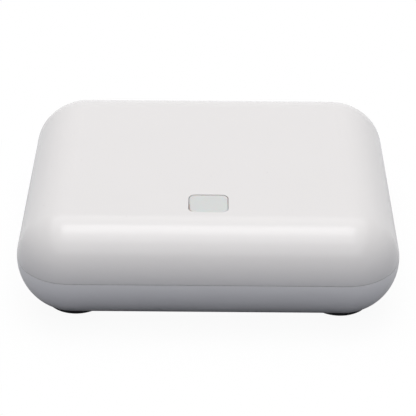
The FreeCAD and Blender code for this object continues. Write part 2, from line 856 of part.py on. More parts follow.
def power_jack_pin():
    """The centre pin with its thinner tail and the leg that is soldered to the board."""
    bore_floor = socket_face - jack_bore_depth
    back = socket_face - jack_length
    pin = rod_along_y(jack_x, jack_axis_z, bore_floor, bore_floor + jack_pin_length, jack_pin_radius)
    tip = [e for e in pin.Edges if abs(e.BoundBox.YMin - bore_floor - jack_pin_length) < same_place]
    pin = pin.makeFillet(jack_pin_tip_rounding, tip)
    tail = rod_along_y(jack_x, jack_axis_z, back, bore_floor, jack_tail_radius)
    leg = block(jack_x - jack_leg_width / 2, jack_x + jack_leg_width / 2, back - jack_leg_thickness, back,
                jack_axis_z - jack_leg_width / 2, board_bottom)
    return pin.multiFuse([tail, leg])


def leaf_low():
    return jack_axis_z - jack_bore_radius + jack_leaf_reach - jack_leaf_thickness


def power_jack_leaf():
    """The spring leaf along the floor of the bore."""
    bore_floor = socket_face - jack_bore_depth
    return block(jack_x - jack_leaf_width / 2, jack_x + jack_leaf_width / 2, bore_floor,
                 bore_floor + jack_leaf_length, leaf_low(), leaf_low() + jack_leaf_thickness)


def siren_case():
    """A round sounder that stands on the floor and is open through its low port."""
    case = rod(siren_x, siren_y, floor_top, floor_top + siren_height, siren_radius)
    port = rod(siren_x, siren_y, floor_top, floor_top + siren_height - siren_wall, siren_port_radius)
    below_disc = rod(siren_x, siren_y, floor_top + siren_wall, floor_top + siren_disc_height,
                     siren_disc_radius - siren_disc_ledge)
    above_disc = rod(siren_x, siren_y, floor_top + siren_disc_height, floor_top + siren_height - siren_wall,
                     siren_radius - siren_wall)
    return case.cut([port, below_disc, above_disc])


def siren_disc():
    low = floor_top + siren_disc_height
    return rod(siren_x, siren_y, low, low + siren_disc_thickness, siren_disc_radius)


def lead(corners, bend):
    """A wire of straight runs joined by round bends, all at right angles."""
    edges = []
    start = corners[0]
    for index in range(1, len(corners) - 1):
        corner = corners[index]
        back = (corners[index - 1] - corner).normalize()
        ahead = (corners[index + 1] - corner).normalize()
        bend_start = corner + back * bend
        bend_end = corner + ahead * bend
        middle = corner + (back + ahead) * (bend * (1 - math.sqrt(0.5)))
        edges.append(Part.LineSegment(start, bend_start).toShape())
        edges.append(Part.Arc(bend_start, middle, bend_end).toShape())
        start = bend_end
    edges.append(Part.LineSegment(start, corners[-1]).toShape())
    section = Part.Wire([Part.Circle(corners[0], corners[1] - corners[0], lead_radius).toShape()])
    return Part.Wire(edges).makePipeShell([section], True, False)


def siren_leads():
    low = floor_top + siren_height
    run_z = board_bottom - connector_height + connector_wire_height
    end_y = siren_connector_y - connector_depth / 2
    leads = []
    for sign in (-1, 1):
        x = siren_x + sign * lead_pitch / 2
        corners = [point(x, siren_lead_y, low), point(x, siren_lead_y, run_z), point(x, end_y, run_z)]
        leads.append(lead(corners, siren_lead_bend))
    return leads


def battery_leads():
    """A short lead from each terminal tab, out and up to the board."""
    z = tab_z + contact_plate_thickness / 2
    start_y = bay_front_outer - tab_standout
    rise_y = start_y - battery_lead_run_out
    leads = []
    for x in (-terminal_x(), terminal_x()):
        leads.append(lead([point(x, start_y, z), point(x, rise_y, z), point(x, rise_y, board_bottom)],
                          battery_lead_bend))
    return leads


def connector(x, y):
    """A wire socket hung under the board, with a notch in its far side."""
    low = board_bottom - connector_height
    body = rounded_block(x, y, connector_width, connector_depth, connector_corner_radius, low, board_bottom)
    back = y + connector_depth / 2
    notch = block(x - connector_notch_width / 2, x + connector_notch_width / 2, back - connector_notch_depth,
                  back, low, low + connector_notch_height)
    return body.cut(notch)


def shield_can():
    """A thin metal lid over the processor, open below."""
    top = board_top + can_height
    can = rounded_block(can_x, can_y, can_width, can_depth, can_corner_radius, board_top, top)
    return can.cut(rounded_block(can_x, can_y, can_width - 2 * can_wall, can_depth - 2 * can_wall,
                                 can_corner_radius - can_wall, board_top, top - can_wall))


def processor():
    x = can_x - (memory_width + chip_gap) / 2
    return rounded_block(x, can_y, processor_size, processor_size, chip_corner_radius,
                         board_top, board_top + processor_height)


def memory_chip():
    x = can_x + (processor_size + chip_gap) / 2
    return rounded_block(x, can_y, memory_width, memory_depth, chip_corner_radius,
                         board_top, board_top + processor_height)


def radio_module():
    """A small board on the main board, with its lid and a bare strip for its antenna."""
    high = board_top + radio_board_thickness
    carrier = rounded_block(radio_x, radio_y, radio_width, radio_depth, chip_corner_radius, board_top, high)
    lid_depth = radio_depth - radio_antenna_strip - radio_lid_margin
    lid_y = radio_y + radio_depth / 2 - radio_lid_margin - lid_depth / 2
    lid = rounded_block(radio_x, lid_y, radio_width - 2 * radio_lid_margin, lid_depth, can_corner_radius,
                        high, high + radio_lid_height)
    return carrier.fuse(lid)


def strip_antenna():
    """A bent strip: two legs on the board and a flag along their tops."""
    half = antenna_length / 2
    antenna_x = antenna_margin - board_half_width
    top = board_top + antenna_height
    t = antenna_thickness
    flag = block(antenna_x, antenna_x + antenna_width, antenna_y - half, antenna_y + half, top - t, top)
    legs = [block(antenna_x, antenna_x + t, y, y + antenna_width / 2, board_top, top)
            for y in (antenna_y - half, antenna_y)]
    return flag.multiFuse(legs)


def capacitor(index):
    x = capacitor_x + (index - (capacitor_count - 1) / 2) * capacitor_pitch
    low = board_top + capacitor_base
    high = board_top + capacitor_height
    base = rounded_block(x, capacitor_y, 2 * capacitor_radius, 2 * capacitor_radius, capacitor_rounding,
                         board_top, low)
    can = rod(x, capacitor_y, low, high, capacitor_radius)
    can = can.makeFillet(capacitor_rounding, edges_at_height(can, high))
    return base.fuse(can)


def power_inductor():
    return rounded_block(inductor_x, inductor_y, inductor_size, inductor_size, inductor_corner_radius,
                         board_top, board_top + inductor_height)


def save(name, solids):
    """Writes one sub-part, and says when a solid of it isn't sound."""
    shape = solids if isinstance(solids, Part.Shape) else Part.makeCompound(solids)
    for solid in shape.Solids:
        if not solid.isValid():
            print("not valid:", name)
    if not shape.Solids:
        print("empty:", name)
    shape = shape.Solids[0] if len(shape.Solids) == 1 else Part.makeCompound(shape.Solids)
    shape.exportStep("parts/" + name + ".step")
    print(name, len(shape.Solids), "solid", round(shape.Volume, 1), "mm3")


def build():
    os.makedirs("parts", exist_ok=True)
    outer = body_form(0)
    save("top_cover", top_cover(outer))
    save("base_tray", base_tray(outer))
    for number, place in enumerate(corner_places, 1):
        save("rubber_foot_" + str(number), rubber_foot(*place))
    save("case_screws", [case_screw(x, y) for x, y in corner_places])
    save("main_board", main_board())

    save("status_key", status_key())
    save("light_shroud", light_shroud())
    save("status_lamps", [status_lamp(x, y) for x in (-led_offset_x, led_offset_x)
                          for y in (-led_offset_y, led_offset_y)])
    save("status_switch_body", place_status_switch(push_switch_body(status_travel)))
    save("status_switch_plunger", place_status_switch(push_switch_plunger(status_switch_total)))
    save("reset_switch_body", reset_switch_body())
    save("reset_button", place_reset_switch(push_switch_plunger(reset_switch_total)))

    save("battery_door", battery_door())
    for index in range(cell_count):
        save("battery_cell_" + str(index + 1), battery_cell(index))
    save("battery_springs", [battery_spring(index) for index in range(cell_count)])
    save("battery_contact_plates", contact_plates())
    save("battery_leads", battery_leads())

    save("ethernet_shield", ethernet_shield())
    save("ethernet_insert", ethernet_insert())
    save("ethernet_wires", [ethernet_wire(index) for index in range(wire_count)])
    save("ethernet_indicators", [ethernet_indicator(x, z) for x, z in indicator_places()])
    save("power_jack_housing", power_jack_housing())
    save("power_jack_pin", power_jack_pin())
    save("power_jack_leaf", power_jack_leaf())

    save("siren_case", siren_case())
    save("siren_disc", siren_disc())
    save("siren_leads", siren_leads())
    save("siren_connector", connector(siren_x, siren_connector_y))

    save("shield_can", shield_can())
    save("processor", processor())
    save("memory_chip", memory_chip())
    save("radio_module", radio_module())
    save("strip_antenna", strip_antenna())
    save("capacitors", [capacitor(index) for index in range(capacitor_count)])
    save("power_inductor", power_inductor())


build()
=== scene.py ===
# %% [markdown]
# # An alarm hub, dressed in Blender
#
# The hub is a low white box: a glossy cover over a satin base, a small frosted key near the front of
# its top, and dark rubber feet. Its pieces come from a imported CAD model, so their sizes and places are
# already right. What is left is what the eye notices: surfaces as smooth as moulded plastic,
# the right gloss on each piece, small marks of making and of use, and soft light.
#
# The model is loaded first. Everything is in metres, with the table at height 0 and the front at -Y.

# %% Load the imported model
import math

import bmesh
import bpy
import numpy as np
from mathutils import Matrix, Vector


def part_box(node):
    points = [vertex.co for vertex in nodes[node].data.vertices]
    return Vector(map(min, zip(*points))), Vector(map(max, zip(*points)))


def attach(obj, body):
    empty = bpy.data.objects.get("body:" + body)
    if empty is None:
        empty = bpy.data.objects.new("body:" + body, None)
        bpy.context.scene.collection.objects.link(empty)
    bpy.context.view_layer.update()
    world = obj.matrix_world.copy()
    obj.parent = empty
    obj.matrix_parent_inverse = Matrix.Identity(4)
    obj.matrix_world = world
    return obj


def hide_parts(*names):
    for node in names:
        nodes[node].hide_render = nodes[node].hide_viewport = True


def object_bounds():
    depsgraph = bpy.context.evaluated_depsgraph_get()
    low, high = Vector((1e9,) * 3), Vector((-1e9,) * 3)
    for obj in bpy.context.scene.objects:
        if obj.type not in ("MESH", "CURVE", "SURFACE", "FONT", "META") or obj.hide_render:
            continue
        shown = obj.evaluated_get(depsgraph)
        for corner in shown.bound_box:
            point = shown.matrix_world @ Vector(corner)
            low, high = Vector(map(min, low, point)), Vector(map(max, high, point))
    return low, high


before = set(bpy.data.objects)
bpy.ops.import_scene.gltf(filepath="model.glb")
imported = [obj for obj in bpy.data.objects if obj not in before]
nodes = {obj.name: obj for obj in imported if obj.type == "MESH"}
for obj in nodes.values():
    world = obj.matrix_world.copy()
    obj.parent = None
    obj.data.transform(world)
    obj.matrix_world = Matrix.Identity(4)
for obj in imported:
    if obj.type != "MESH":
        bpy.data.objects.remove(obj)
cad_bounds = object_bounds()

MM = 0.001
print("nodes loaded:", len(nodes))

# %% [markdown]
# ## The camera
#
# A picture looks like a photograph only when both are taken from the same place, so the camera comes
# before any shape. The photograph was taken from about half a metre away and 33 degrees above the
# table, and the hub's front faces it. A long lens keeps the sides nearly parallel. The camera's three
# directions are worked out from its angles, which says more than a list of rotation numbers.

# %% Stand the camera where the photograph was taken
PHOTO_WIDTH = 416                # pixels
FOCAL_PIXELS = 1531.2
SENSOR_WIDTH = 36.0              # millimetres, as Blender counts its lenses
VIEW_ELEVATION = math.radians(33.15)
VIEW_YAW = math.radians(-0.17)
VIEW_ROLL = math.radians(0.36)
VIEW_DISTANCE = 532.3 * MM
VIEW_TARGET = Vector((-0.22, 0.0, 14.69)) * MM

forward = Vector((math.sin(VIEW_YAW) * math.cos(VIEW_ELEVATION),
                  math.cos(VIEW_YAW) * math.cos(VIEW_ELEVATION),
                  -math.sin(VIEW_ELEVATION)))
level = Vector((math.cos(VIEW_YAW), -math.sin(VIEW_YAW), 0.0))
upward = level.cross(forward)
camera_right = math.cos(VIEW_ROLL) * level + math.sin(VIEW_ROLL) * upward
camera_up = math.cos(VIEW_ROLL) * upward - math.sin(VIEW_ROLL) * level

camera_data = bpy.data.cameras.new("photo_camera")
camera_data.sensor_width = SENSOR_WIDTH
camera_data.lens = FOCAL_PIXELS * SENSOR_WIDTH / PHOTO_WIDTH
camera = bpy.data.objects.new("photo_camera", camera_data)
camera.matrix_world = Matrix.LocRotScale(
    VIEW_TARGET - forward * VIEW_DISTANCE,
    Matrix((camera_right, camera_up, -forward)).transposed(),
    None)
bpy.context.scene.collection.objects.link(camera)
bpy.context.scene.camera = camera
print("lens:", round(camera_data.lens, 1), "mm")

# %% [markdown]
# ## The body's formula
#
# The hub's outside is one smooth form. Seen from above it is a rectangle with round corners, and seen
# from the side its edge is two quarter ellipses that meet at the widest line, the waist. Both facts fit
# in one formula: take away from a point its nearest place on the rectangle of corner centres, and
# what is left is a reach and a height, which lie on an ellipse. With the formula at hand, any point
# can be laid on the form exactly, and the direction that the surface faces is known without measuring.

# %% Read the body's sizes and write its formula
body_size = Vector(cad_bounds[1])
HALF_WIDTH, HALF_DEPTH, BODY_HEIGHT = body_size
WAIST = 18.6 * MM                # the widest line
TOP_ROUNDING = 17.5 * MM         # how far the upper rounding reaches in
BOTTOM_ROUNDING = 18.0 * MM      # how far the lower one would, down on the table
CORNER_RADIUS = 18.3 * MM        # of the corners seen from above, at the waist
TINY = 1e-9                      # keeps a division from meeting zero
corner_centre = np.array([HALF_WIDTH - CORNER_RADIUS, HALF_DEPTH - CORNER_RADIUS])


def lay_on_body(points):
    """Lays points on the body's outside. Gives their new places, how far each one moved, and normals.

    The reach is the plan distance to the nearest place on the rectangle of corner centres. Reach and
    height above the waist, each divided by its half axis, are scaled to length one together. The
    normal is the same pair divided by the half axes once more.
    """
    centre = np.clip(points[:, :2], -corner_centre, corner_centre)
    arm = points[:, :2] - centre
    reach = np.hypot(arm[:, 0], arm[:, 1])
    outward = arm / np.maximum(reach, TINY)[:, None]
    above = points[:, 2] >= WAIST
    across = np.where(above, TOP_ROUNDING, BOTTOM_ROUNDING)
    tall = np.where(above, BODY_HEIGHT - WAIST, WAIST)
    inner = CORNER_RADIUS - across
    a = np.maximum(reach - inner, 0) / across
    b = (points[:, 2] - WAIST) / tall
    length = np.maximum(np.hypot(a, b), TINY)
    a, b = a / length, b / length
    new_reach = np.where(a > 0, inner + across * a, reach)
    placed = np.column_stack((centre + outward * new_reach[:, None], WAIST + tall * b))
    slope = np.column_stack((a / across, b / tall))
    slope /= np.linalg.norm(slope, axis=1)[:, None]
    normal = np.column_stack((outward * slope[:, :1], slope[:, 1]))
    return placed, np.linalg.norm(placed - points, axis=1), normal


print("half width, half depth, height in mm:", np.round(np.array(body_size) / MM, 2))

# %% [markdown]
# ## Smooth shells from the CAD pieces
#
# A CAD model comes as flat triangles. On a glossy cover every triangle would show as a facet in the
# reflections. The cover and the base also hold ribs, bosses, a port recess and a lip, which are worth
# keeping. So each shell is a copy of its CAD piece: loose corners are joined, the triangles on the
# outside are divided until no edge cuts under the skin, every new point is laid on the body's formula,
# and the outside takes its normals from the formula too. The inside keeps its sharp edges.

# %% Copy a CAD piece with its corners joined
JOINING_DISTANCE = 0.001 * MM
SHARP_ANGLE = math.radians(32)


def joined_form(node_name):
    """A bmesh of one CAD node in which corners at the same place are one point."""
    form = bmesh.new()
    form.from_mesh(nodes[node_name].data)
    bmesh.ops.remove_doubles(form, verts=form.verts, dist=JOINING_DISTANCE)
    return form


def vertex_places(mesh):
    """The mesh's points as one array with three columns."""
    places = np.empty(len(mesh.vertices) * 3)
    mesh.vertices.foreach_get("co", places)
    return places.reshape(-1, 3)


def add_piece(name, mesh, body, slot, *replaced):
    """Puts a finished mesh in the scene and on its CAD body. Its slot is not used."""
    piece = bpy.data.objects.new(name, mesh)
    bpy.context.scene.collection.objects.link(piece)
    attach(piece, body)
    if replaced:
        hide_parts(*replaced)
    return piece


def form_to_mesh(form, name):
    """Turns a bmesh into a mesh that is smooth except at its sharp edges."""
    mesh = bpy.data.meshes.new(name)
    form.to_mesh(mesh)
    form.free()
    if "custom_normal" in mesh.attributes:
        mesh.attributes.remove(mesh.attributes["custom_normal"])
    mesh.shade_smooth()
    mesh.set_sharp_from_angle(angle=SHARP_ANGLE)
    return mesh


# %% Divide the outside and lay it on the formula
ON_SKIN = 2 * JOINING_DISTANCE   # a point nearer to the skin than this lies on it
SKIN_TOLERANCE = 0.045 * MM      # the CAD triangles lie at most this far under the skin
SMALLEST_SAG = 0.006 * MM        # an edge that sags less than this is left as it is
DIVIDING_ROUNDS = 3
FACING_ALIKE = 0.97              # cosine between a face's own direction and the formula's


def divide_skin(form):
    """Halves the edges on the outside that sag under the skin, and lays all of the skin on it."""
    for _ in range(DIVIDING_ROUNDS):
        form.verts.ensure_lookup_table()
        form.edges.ensure_lookup_table()
        form.verts.index_update()
        places = np.array([vertex.co for vertex in form.verts])
        ends = np.array([[v.index for v in edge.verts] for edge in form.edges])
        on_skin = lay_on_body(places)[1] < ON_SKIN
        sag = lay_on_body(places[ends].mean(axis=1))[1]
        chosen = on_skin[ends].all(axis=1) & (sag > SMALLEST_SAG) & (sag < SKIN_TOLERANCE)
        edges = [form.edges[i] for i in np.flatnonzero(chosen)]
        if not edges:
            break
        made = bmesh.ops.subdivide_edges(form, edges=edges, cuts=1)
        new = [item for item in made["geom_inner"] if isinstance(item, bmesh.types.BMVert)]
        laid = lay_on_body(np.array([vertex.co for vertex in new]))[0]
        for vertex, place in zip(new, laid):
            vertex.co = place
        bmesh.ops.triangulate(form, faces=form.faces)
    return form


def take_skin_normals(mesh):
    """Gives each corner on the outside the formula's normal. The other corners keep their own."""
    places = vertex_places(mesh)
    _, moved, normal = lay_on_body(places)
    corner_point = np.empty(len(mesh.loops), int)
    mesh.loops.foreach_get("vertex_index", corner_point)
    face_normal = np.empty(len(mesh.polygons) * 3)
    mesh.polygons.foreach_get("normal", face_normal)
    corner_face_normal = np.repeat(face_normal.reshape(-1, 3), 3, axis=0)
    agrees = (corner_face_normal * normal[corner_point]).sum(axis=1) > FACING_ALIKE
    on_skin = (moved[corner_point] < ON_SKIN) & agrees
    whole_face = on_skin.reshape(-1, 3).all(axis=1).repeat(3)
    corner_normal = np.where(whole_face[:, None], normal[corner_point], 0.0)
    mesh.normals_split_custom_set(corner_normal.tolist())
    return int(whole_face.sum() // 3)


def make_shell(node_name, piece_name, slot):
    """A copy of a shell whose outside is divided, laid on the body's formula and shaded by it."""
    form = joined_form(node_name)
    bmesh.ops.triangulate(form, faces=form.faces)
    mesh = form_to_mesh(divide_skin(form), piece_name)
    skin_faces = take_skin_normals(mesh)
    print(piece_name, "has", len(mesh.polygons), "faces,", skin_faces, "of them on the outside")
    return add_piece(piece_name, mesh, "hub", slot, node_name)


cover = make_shell("top_cover", "cover_shell", "cover_gloss_white")
base = make_shell("base_tray", "base_shell", "base_satin_white")

# %% [markdown]
# ## Pieces from stacked rings
#
# The key and the feet are simple closed forms: a stack of rings, each one a rounded rectangle or a
# circle. A circle is only a rounded rectangle whose corner centres have come together, so one
# function makes both. The rings are a grid with a row for each ring and a column for each direction,
# and the first and last rows are single points that close the form.

# %% Build a closed surface from rings
RING_QUARTER = 16                # steps round each quarter of a ring


def ring_grid(rings):
    """Gives the points of stacked rings as an array of rows, columns and x, y, z.

    Each ring is half_x, half_y, radius, height. Its point in direction t is the corner centre on
    that side, plus or minus half_x and half_y, with the radius times (cos t, sin t) added.
    """
    quarter = np.linspace(0, np.pi / 2, RING_QUARTER + 1)
    turn = np.concatenate([quarter + corner * np.pi / 2 for corner in range(4)])
    side_x = np.repeat([1, -1, -1, 1], RING_QUARTER + 1)
    side_y = np.repeat([1, 1, -1, -1], RING_QUARTER + 1)
    half_x, half_y, radius, height = (np.array(rings, float)[:, k, None] for k in range(4))
    return np.stack((half_x * side_x + radius * np.cos(turn),
                     half_y * side_y + radius * np.sin(turn),
                     height + 0 * turn), axis=2)


def closed_mesh(name, grid):
    """A mesh from a grid that is closed round its columns and ends in one point at each end."""
    rows, columns = grid.shape[:2]
    places = np.concatenate([grid[:1, 0], grid[1:-1].reshape(-1, 3), grid[-1:, 0]])
    here = 1 + np.arange((rows - 2) * columns).reshape(rows - 2, columns)
    beside = np.roll(here, -1, axis=1)
    quads = np.stack((here[:-1], beside[:-1], beside[1:], here[1:]), axis=2).reshape(-1, 4)
    first = np.column_stack((np.zeros(columns, int), beside[0], here[0]))
    last = np.column_stack((np.full(columns, len(places) - 1), here[-1], beside[-1]))
    mesh = bpy.data.meshes.new(name)
    mesh.from_pydata(places.tolist(), [], quads.tolist() + first.tolist() + last.tolist())
    form = bmesh.new()
    form.from_mesh(mesh)
    bmesh.ops.remove_doubles(form, verts=form.verts, dist=JOINING_DISTANCE)
    bmesh.ops.recalc_face_normals(form, faces=form.faces)
    bpy.data.meshes.remove(mesh)
    return form_to_mesh(form, name)


def rounding(radius, height, edge, steps=6, upward=True):
    """Radius and height pairs round an edge, along a quarter circle from the side to the end."""
    angle = np.linspace(0, np.pi / 2, steps + 1)
    rise = edge * (np.sin(angle) - 1) * (1 if upward else -1)
    return list(zip(radius - edge * (1 - np.cos(angle)), height + rise))


# %% [markdown]
# ## The key
#
# The key is a frosted cap that sits a hair below the cover, held in by a flange and pressed down on a
# switch by its stem. Its top is almost flat, but a moulded cap always swells a little in the middle,
# and that swell and the round edge are what catch the light.

# %% Make the key cap
key_low, key_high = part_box("status_key")
KEY_HALF = Vector((6.33, 5.08)) * MM
KEY_CORNER = 2.08 * MM
KEY_FLANGE_CORNER = 2.2 * MM
KEY_FLANGE_THICKNESS = 1.0 * MM
KEY_FLANGE_TOP = 32.5 * MM       # above the table
KEY_STEM_RADIUS = 1.6 * MM
KEY_EDGE = 0.22 * MM             # the rounding of the top edge
KEY_SWELL = 0.04 * MM            # how far the middle of the top stands above its edge
SWELL_SHARES = np.linspace(0.9, 0, 10)  # the rings on the swell, as shares of the top's size
key_centre = (key_low + key_high) / 2
flange_half = (key_high - key_low) / 2
flange_x, flange_y = flange_half.x - KEY_FLANGE_CORNER, flange_half.y - KEY_FLANGE_CORNER
cap_x, cap_y = KEY_HALF.x - KEY_CORNER, KEY_HALF.y - KEY_CORNER
flange_bottom = KEY_FLANGE_TOP - KEY_FLANGE_THICKNESS

key_rings = [(0, 0, 0, key_low.z), (0, 0, KEY_STEM_RADIUS, key_low.z),
             (0, 0, KEY_STEM_RADIUS, flange_bottom),
             (flange_x, flange_y, KEY_FLANGE_CORNER, flange_bottom),
             (flange_x, flange_y, KEY_FLANGE_CORNER, KEY_FLANGE_TOP),
             (cap_x, cap_y, KEY_CORNER, KEY_FLANGE_TOP)]
key_rings += [(cap_x, cap_y, radius, height)
              for radius, height in rounding(KEY_CORNER, key_high.z - KEY_SWELL, KEY_EDGE)]
top_radius = KEY_CORNER - KEY_EDGE
key_rings += [(cap_x * share, cap_y * share, top_radius * share, key_high.z - KEY_SWELL * share ** 2)
              for share in SWELL_SHARES]
key_grid = ring_grid(key_rings)
key_grid[:, :, 1] += key_centre.y
key = add_piece("key_cap", closed_mesh("key_cap", key_grid), "key", "key_frosted", "status_key")
print("key cap:", len(key.data.polygons), "faces")

# %% [markdown]
# ## The feet
#
# Each foot is a rubber disc pressed into a seat. Soft edges are the whole of its form, so it is rings
# again: up from the table round a small radius, straight to the seat, and closed.

# %% Make the four feet
FOOT_EDGE = 0.4 * MM


def make_foot(node_name, piece_name):
    """A foot from rings: a quarter circle up from the table, then straight to the CAD foot's top."""
    low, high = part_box(node_name)
    middle = (low + high) / 2
    radius = (high.x - low.x) / 2
    rings = [(0, 0, 0, low.z)]
    rings += [(0, 0, r, z) for r, z in reversed(rounding(radius, low.z, FOOT_EDGE, upward=False))]
    rings += [(0, 0, radius, high.z), (0, 0, 0, high.z)]
    grid = ring_grid(rings) + np.array([middle.x, middle.y, 0])
    return add_piece(piece_name, closed_mesh(piece_name, grid), "hub", "foot_rubber", node_name)


feet = [make_foot(f"rubber_foot_{k}", f"foot_pad_{k}") for k in range(1, 5)]
print("feet:", [foot.name for foot in feet])

# %% [markdown]
# ## Mouldings and bent sheet with soft edges
#
# No moulded or folded edge is quite sharp. The mould leaves a rounding of a tenth of a millimetre or
# two, and a thin line of light runs along it. The CAD pieces have true sizes but sharp edges. So the
# door, the sockets, the buttons and the parts on the board are copies whose flat triangles are merged
# into whole faces first, because a bevel needs real edges to follow. A Bevel modifier then rounds
# every edge that turns by more than 40 degrees, and leaves the steps of a bore alone.

# %% Copy the pieces and round their edges
BEVEL_ANGLE = math.radians(40)
BEVEL_SEGMENTS = 2
FLAT_ANGLE = math.radians(1)
SOFT_PIECES = (                  # CAD node, body, record slot, millimetres of rounding
    ("battery_door", "door", "base_satin_white", 0.12),
    ("ethernet_shield", "hub", "socket_shield", 0.1),
    ("ethernet_insert", "hub", "socket_black", 0.05),
    ("ethernet_indicators", "hub", "indicator_lens", 0.08),
    ("power_jack_housing", "hub", "socket_black", 0.15),
    ("power_jack_leaf", "hub", "pin_nickel", 0.08),
    ("reset_button", "reset", "switch_button", 0.2),
    ("reset_switch_body", "hub", "switch_black", 0.05),
    ("status_switch_body", "hub", "switch_black", 0.1),
    ("light_shroud", "hub", "shroud_white", 0.1),
    ("shield_can", "hub", "can_tin", 0.15),
    ("radio_module", "hub", "can_tin", 0.1),
    ("processor", "hub", "chip_black", 0.08),
    ("memory_chip", "hub", "chip_black", 0.08),
    ("power_inductor", "hub", "inductor_ferrite", 0.2),
    ("siren_case", "hub", "siren_black", 0.2),
    ("siren_connector", "hub", "connector_ivory", 0.12),
    ("battery_contact_plates", "hub", "plate_nickel", 0.05))


def soften(node_name, body, slot, rounding_size):
    """A copy of a CAD piece with whole faces and a bevel, and one empty material slot."""
    form = joined_form(node_name)
    bmesh.ops.dissolve_limit(form, angle_limit=FLAT_ANGLE, verts=form.verts, edges=form.edges)
    mesh = form_to_mesh(form, node_name + "_soft")
    mesh.materials.append(None)
    piece = add_piece(mesh.name, mesh, body, slot, node_name)
    bevel = piece.modifiers.new("soft edges", "BEVEL")
    bevel.limit_method = "ANGLE"
    bevel.angle_limit = BEVEL_ANGLE
    bevel.width = rounding_size * MM
    bevel.segments = BEVEL_SEGMENTS
    bevel.harden_normals = True
    return piece


softened = {row[0]: soften(*row) for row in SOFT_PIECES}
print("softened pieces:", len(softened))

# %% [markdown]
# ## Finishes: a few helpers
#
# A material in Blender is a little graph of nodes. Building one by hand takes three calls a node, so
# one helper adds a node and plugs in whatever is a socket. The others build on it: sums, fades, mixed
# colours, noise, and node groups with named inputs. All patterns read Object coordinates, turned into
# millimetres, so that a grain of 0.2 is 0.2 mm on every piece.

# %% Helpers for node graphs
def add_node(tree, kind, inputs=None, **settings):
    """Adds a node, applies its settings, and sets or plugs in its inputs."""
    made = tree.nodes.new(kind)
    for name, value in settings.items():
        setattr(made, name, value)
    for name, value in (inputs or {}).items():
        if isinstance(value, bpy.types.NodeSocket):
            tree.links.new(value, made.inputs[name])
        else:
            made.inputs[name].default_value = value
    return made


def calculate(tree, operation, *values):
    """One sum on numbers or sockets, and its result."""
    return add_node(tree, "ShaderNodeMath", dict(enumerate(values)), operation=operation).outputs[0]


def fade(tree, value, start, end, low=0.0, high=1.0):
    """A smooth step: low before start, high after end."""
    return add_node(tree, "ShaderNodeMapRange",
                    {"Value": value, "From Min": start, "From Max": end, "To Min": low, "To Max": high},
                    interpolation_type="SMOOTHSTEP").outputs["Result"]


def mix_colours(tree, share, first, second, blend="MIX"):
    """Goes from the first colour to the second as share goes from 0 to 1."""
    made = add_node(tree, "ShaderNodeMix", data_type="RGBA", blend_type=blend)
    # Its colour inputs are 6 and 7, and its colour output is 2.
    for index, value in ((0, share), (6, first), (7, second)):
        if isinstance(value, bpy.types.NodeSocket):
            tree.links.new(value, made.inputs[index])
        else:
            made.inputs[index].default_value = value
    return made.outputs[2]


def place_in_mm(tree):
    """Object coordinates in millimetres."""
    place = add_node(tree, "ShaderNodeTexCoord").outputs["Object"]
    return add_node(tree, "ShaderNodeVectorMath", {0: place, "Scale": 1 / MM}, operation="SCALE").outputs[0]


def split(tree, vector):
    """The three numbers of a vector."""
    return add_node(tree, "ShaderNodeSeparateXYZ", {0: vector}).outputs


def surface_normal(tree):
    """The direction that the surface faces."""
    return add_node(tree, "ShaderNodeNewGeometry").outputs["Normal"]


def noise(tree, place, scale, detail=2.0, roughness=0.5):
    """A smooth random value at each place. The scale is in features per millimetre."""
    return add_node(tree, "ShaderNodeTexNoise",
                    {"Vector": place, "Scale": scale, "Detail": detail, "Roughness": roughness}).outputs[0]


def new_group(name, inputs, outputs):
    """Starts a node group. Inputs are name: default, outputs are name: socket kind."""
    group = bpy.data.node_groups.new(name, "ShaderNodeTree")
    for label, value in inputs.items():
        kind = {tuple: "NodeSocketColor", float: "NodeSocketFloat"}[type(value)]
        group.interface.new_socket(label, in_out="INPUT", socket_type=kind).default_value = value
    for label, kind in outputs.items():
        group.interface.new_socket(label, in_out="OUTPUT", socket_type=kind)
    return group, group.nodes.new("NodeGroupInput").outputs, group.nodes.new("NodeGroupOutput").inputs


def use_group(tree, group, **inputs):
    """Places a group in a material. An input's name is written with _ for each space."""
    made = add_node(tree, "ShaderNodeGroup", node_tree=group)
    for name, value in inputs.items():
        socket = made.inputs[name.replace("_", " ").capitalize()]
        if isinstance(value, bpy.types.NodeSocket):
            tree.links.new(value, socket)
        else:
            socket.default_value = value
    return made.outputs


WHITE = (1.0, 1.0, 1.0, 1.0)
GREY = (0.5, 0.5, 0.5, 1.0)

# %% [markdown]
# ## Finishes: what moulding and handling leave behind
#
# Five effects turn up on many pieces, so each is a group that is built once. Tone drift
# is the slight change of shade across a moulded wall. Grain is the texture that the mould prints into
# plastic, or the tooth of cast rubber. Handling is where fingers have polished or dulled the gloss.
# Dust is a few specks that only settle on what faces up. Dirt gathers in a joint, thickest where two
# pieces meet, and round the key the same mask also carries painted shade. A sixth group only measures
# how far a place lies past a rectangle, for the joint round the key and for the floor. Its input
# Sideways counts the way along x that many times.

# %% Group: tone drift
drift_group, given, made = new_group(
    "tone drift", {"Colour": GREY, "Amount": 0.02, "Patch": 20.0}, {"Colour": "NodeSocketColor"})
tree = drift_group
patches = noise(tree, place_in_mm(tree), calculate(tree, "DIVIDE", 1.0, given["Patch"]), detail=3.0)
centred = calculate(tree, "SUBTRACT", patches, 0.5)
shade = calculate(tree, "ADD", 1.0, calculate(tree, "MULTIPLY", centred, given["Amount"]))
tree.links.new(mix_colours(tree, 1.0, given["Colour"], shade, "MULTIPLY"), made["Colour"])

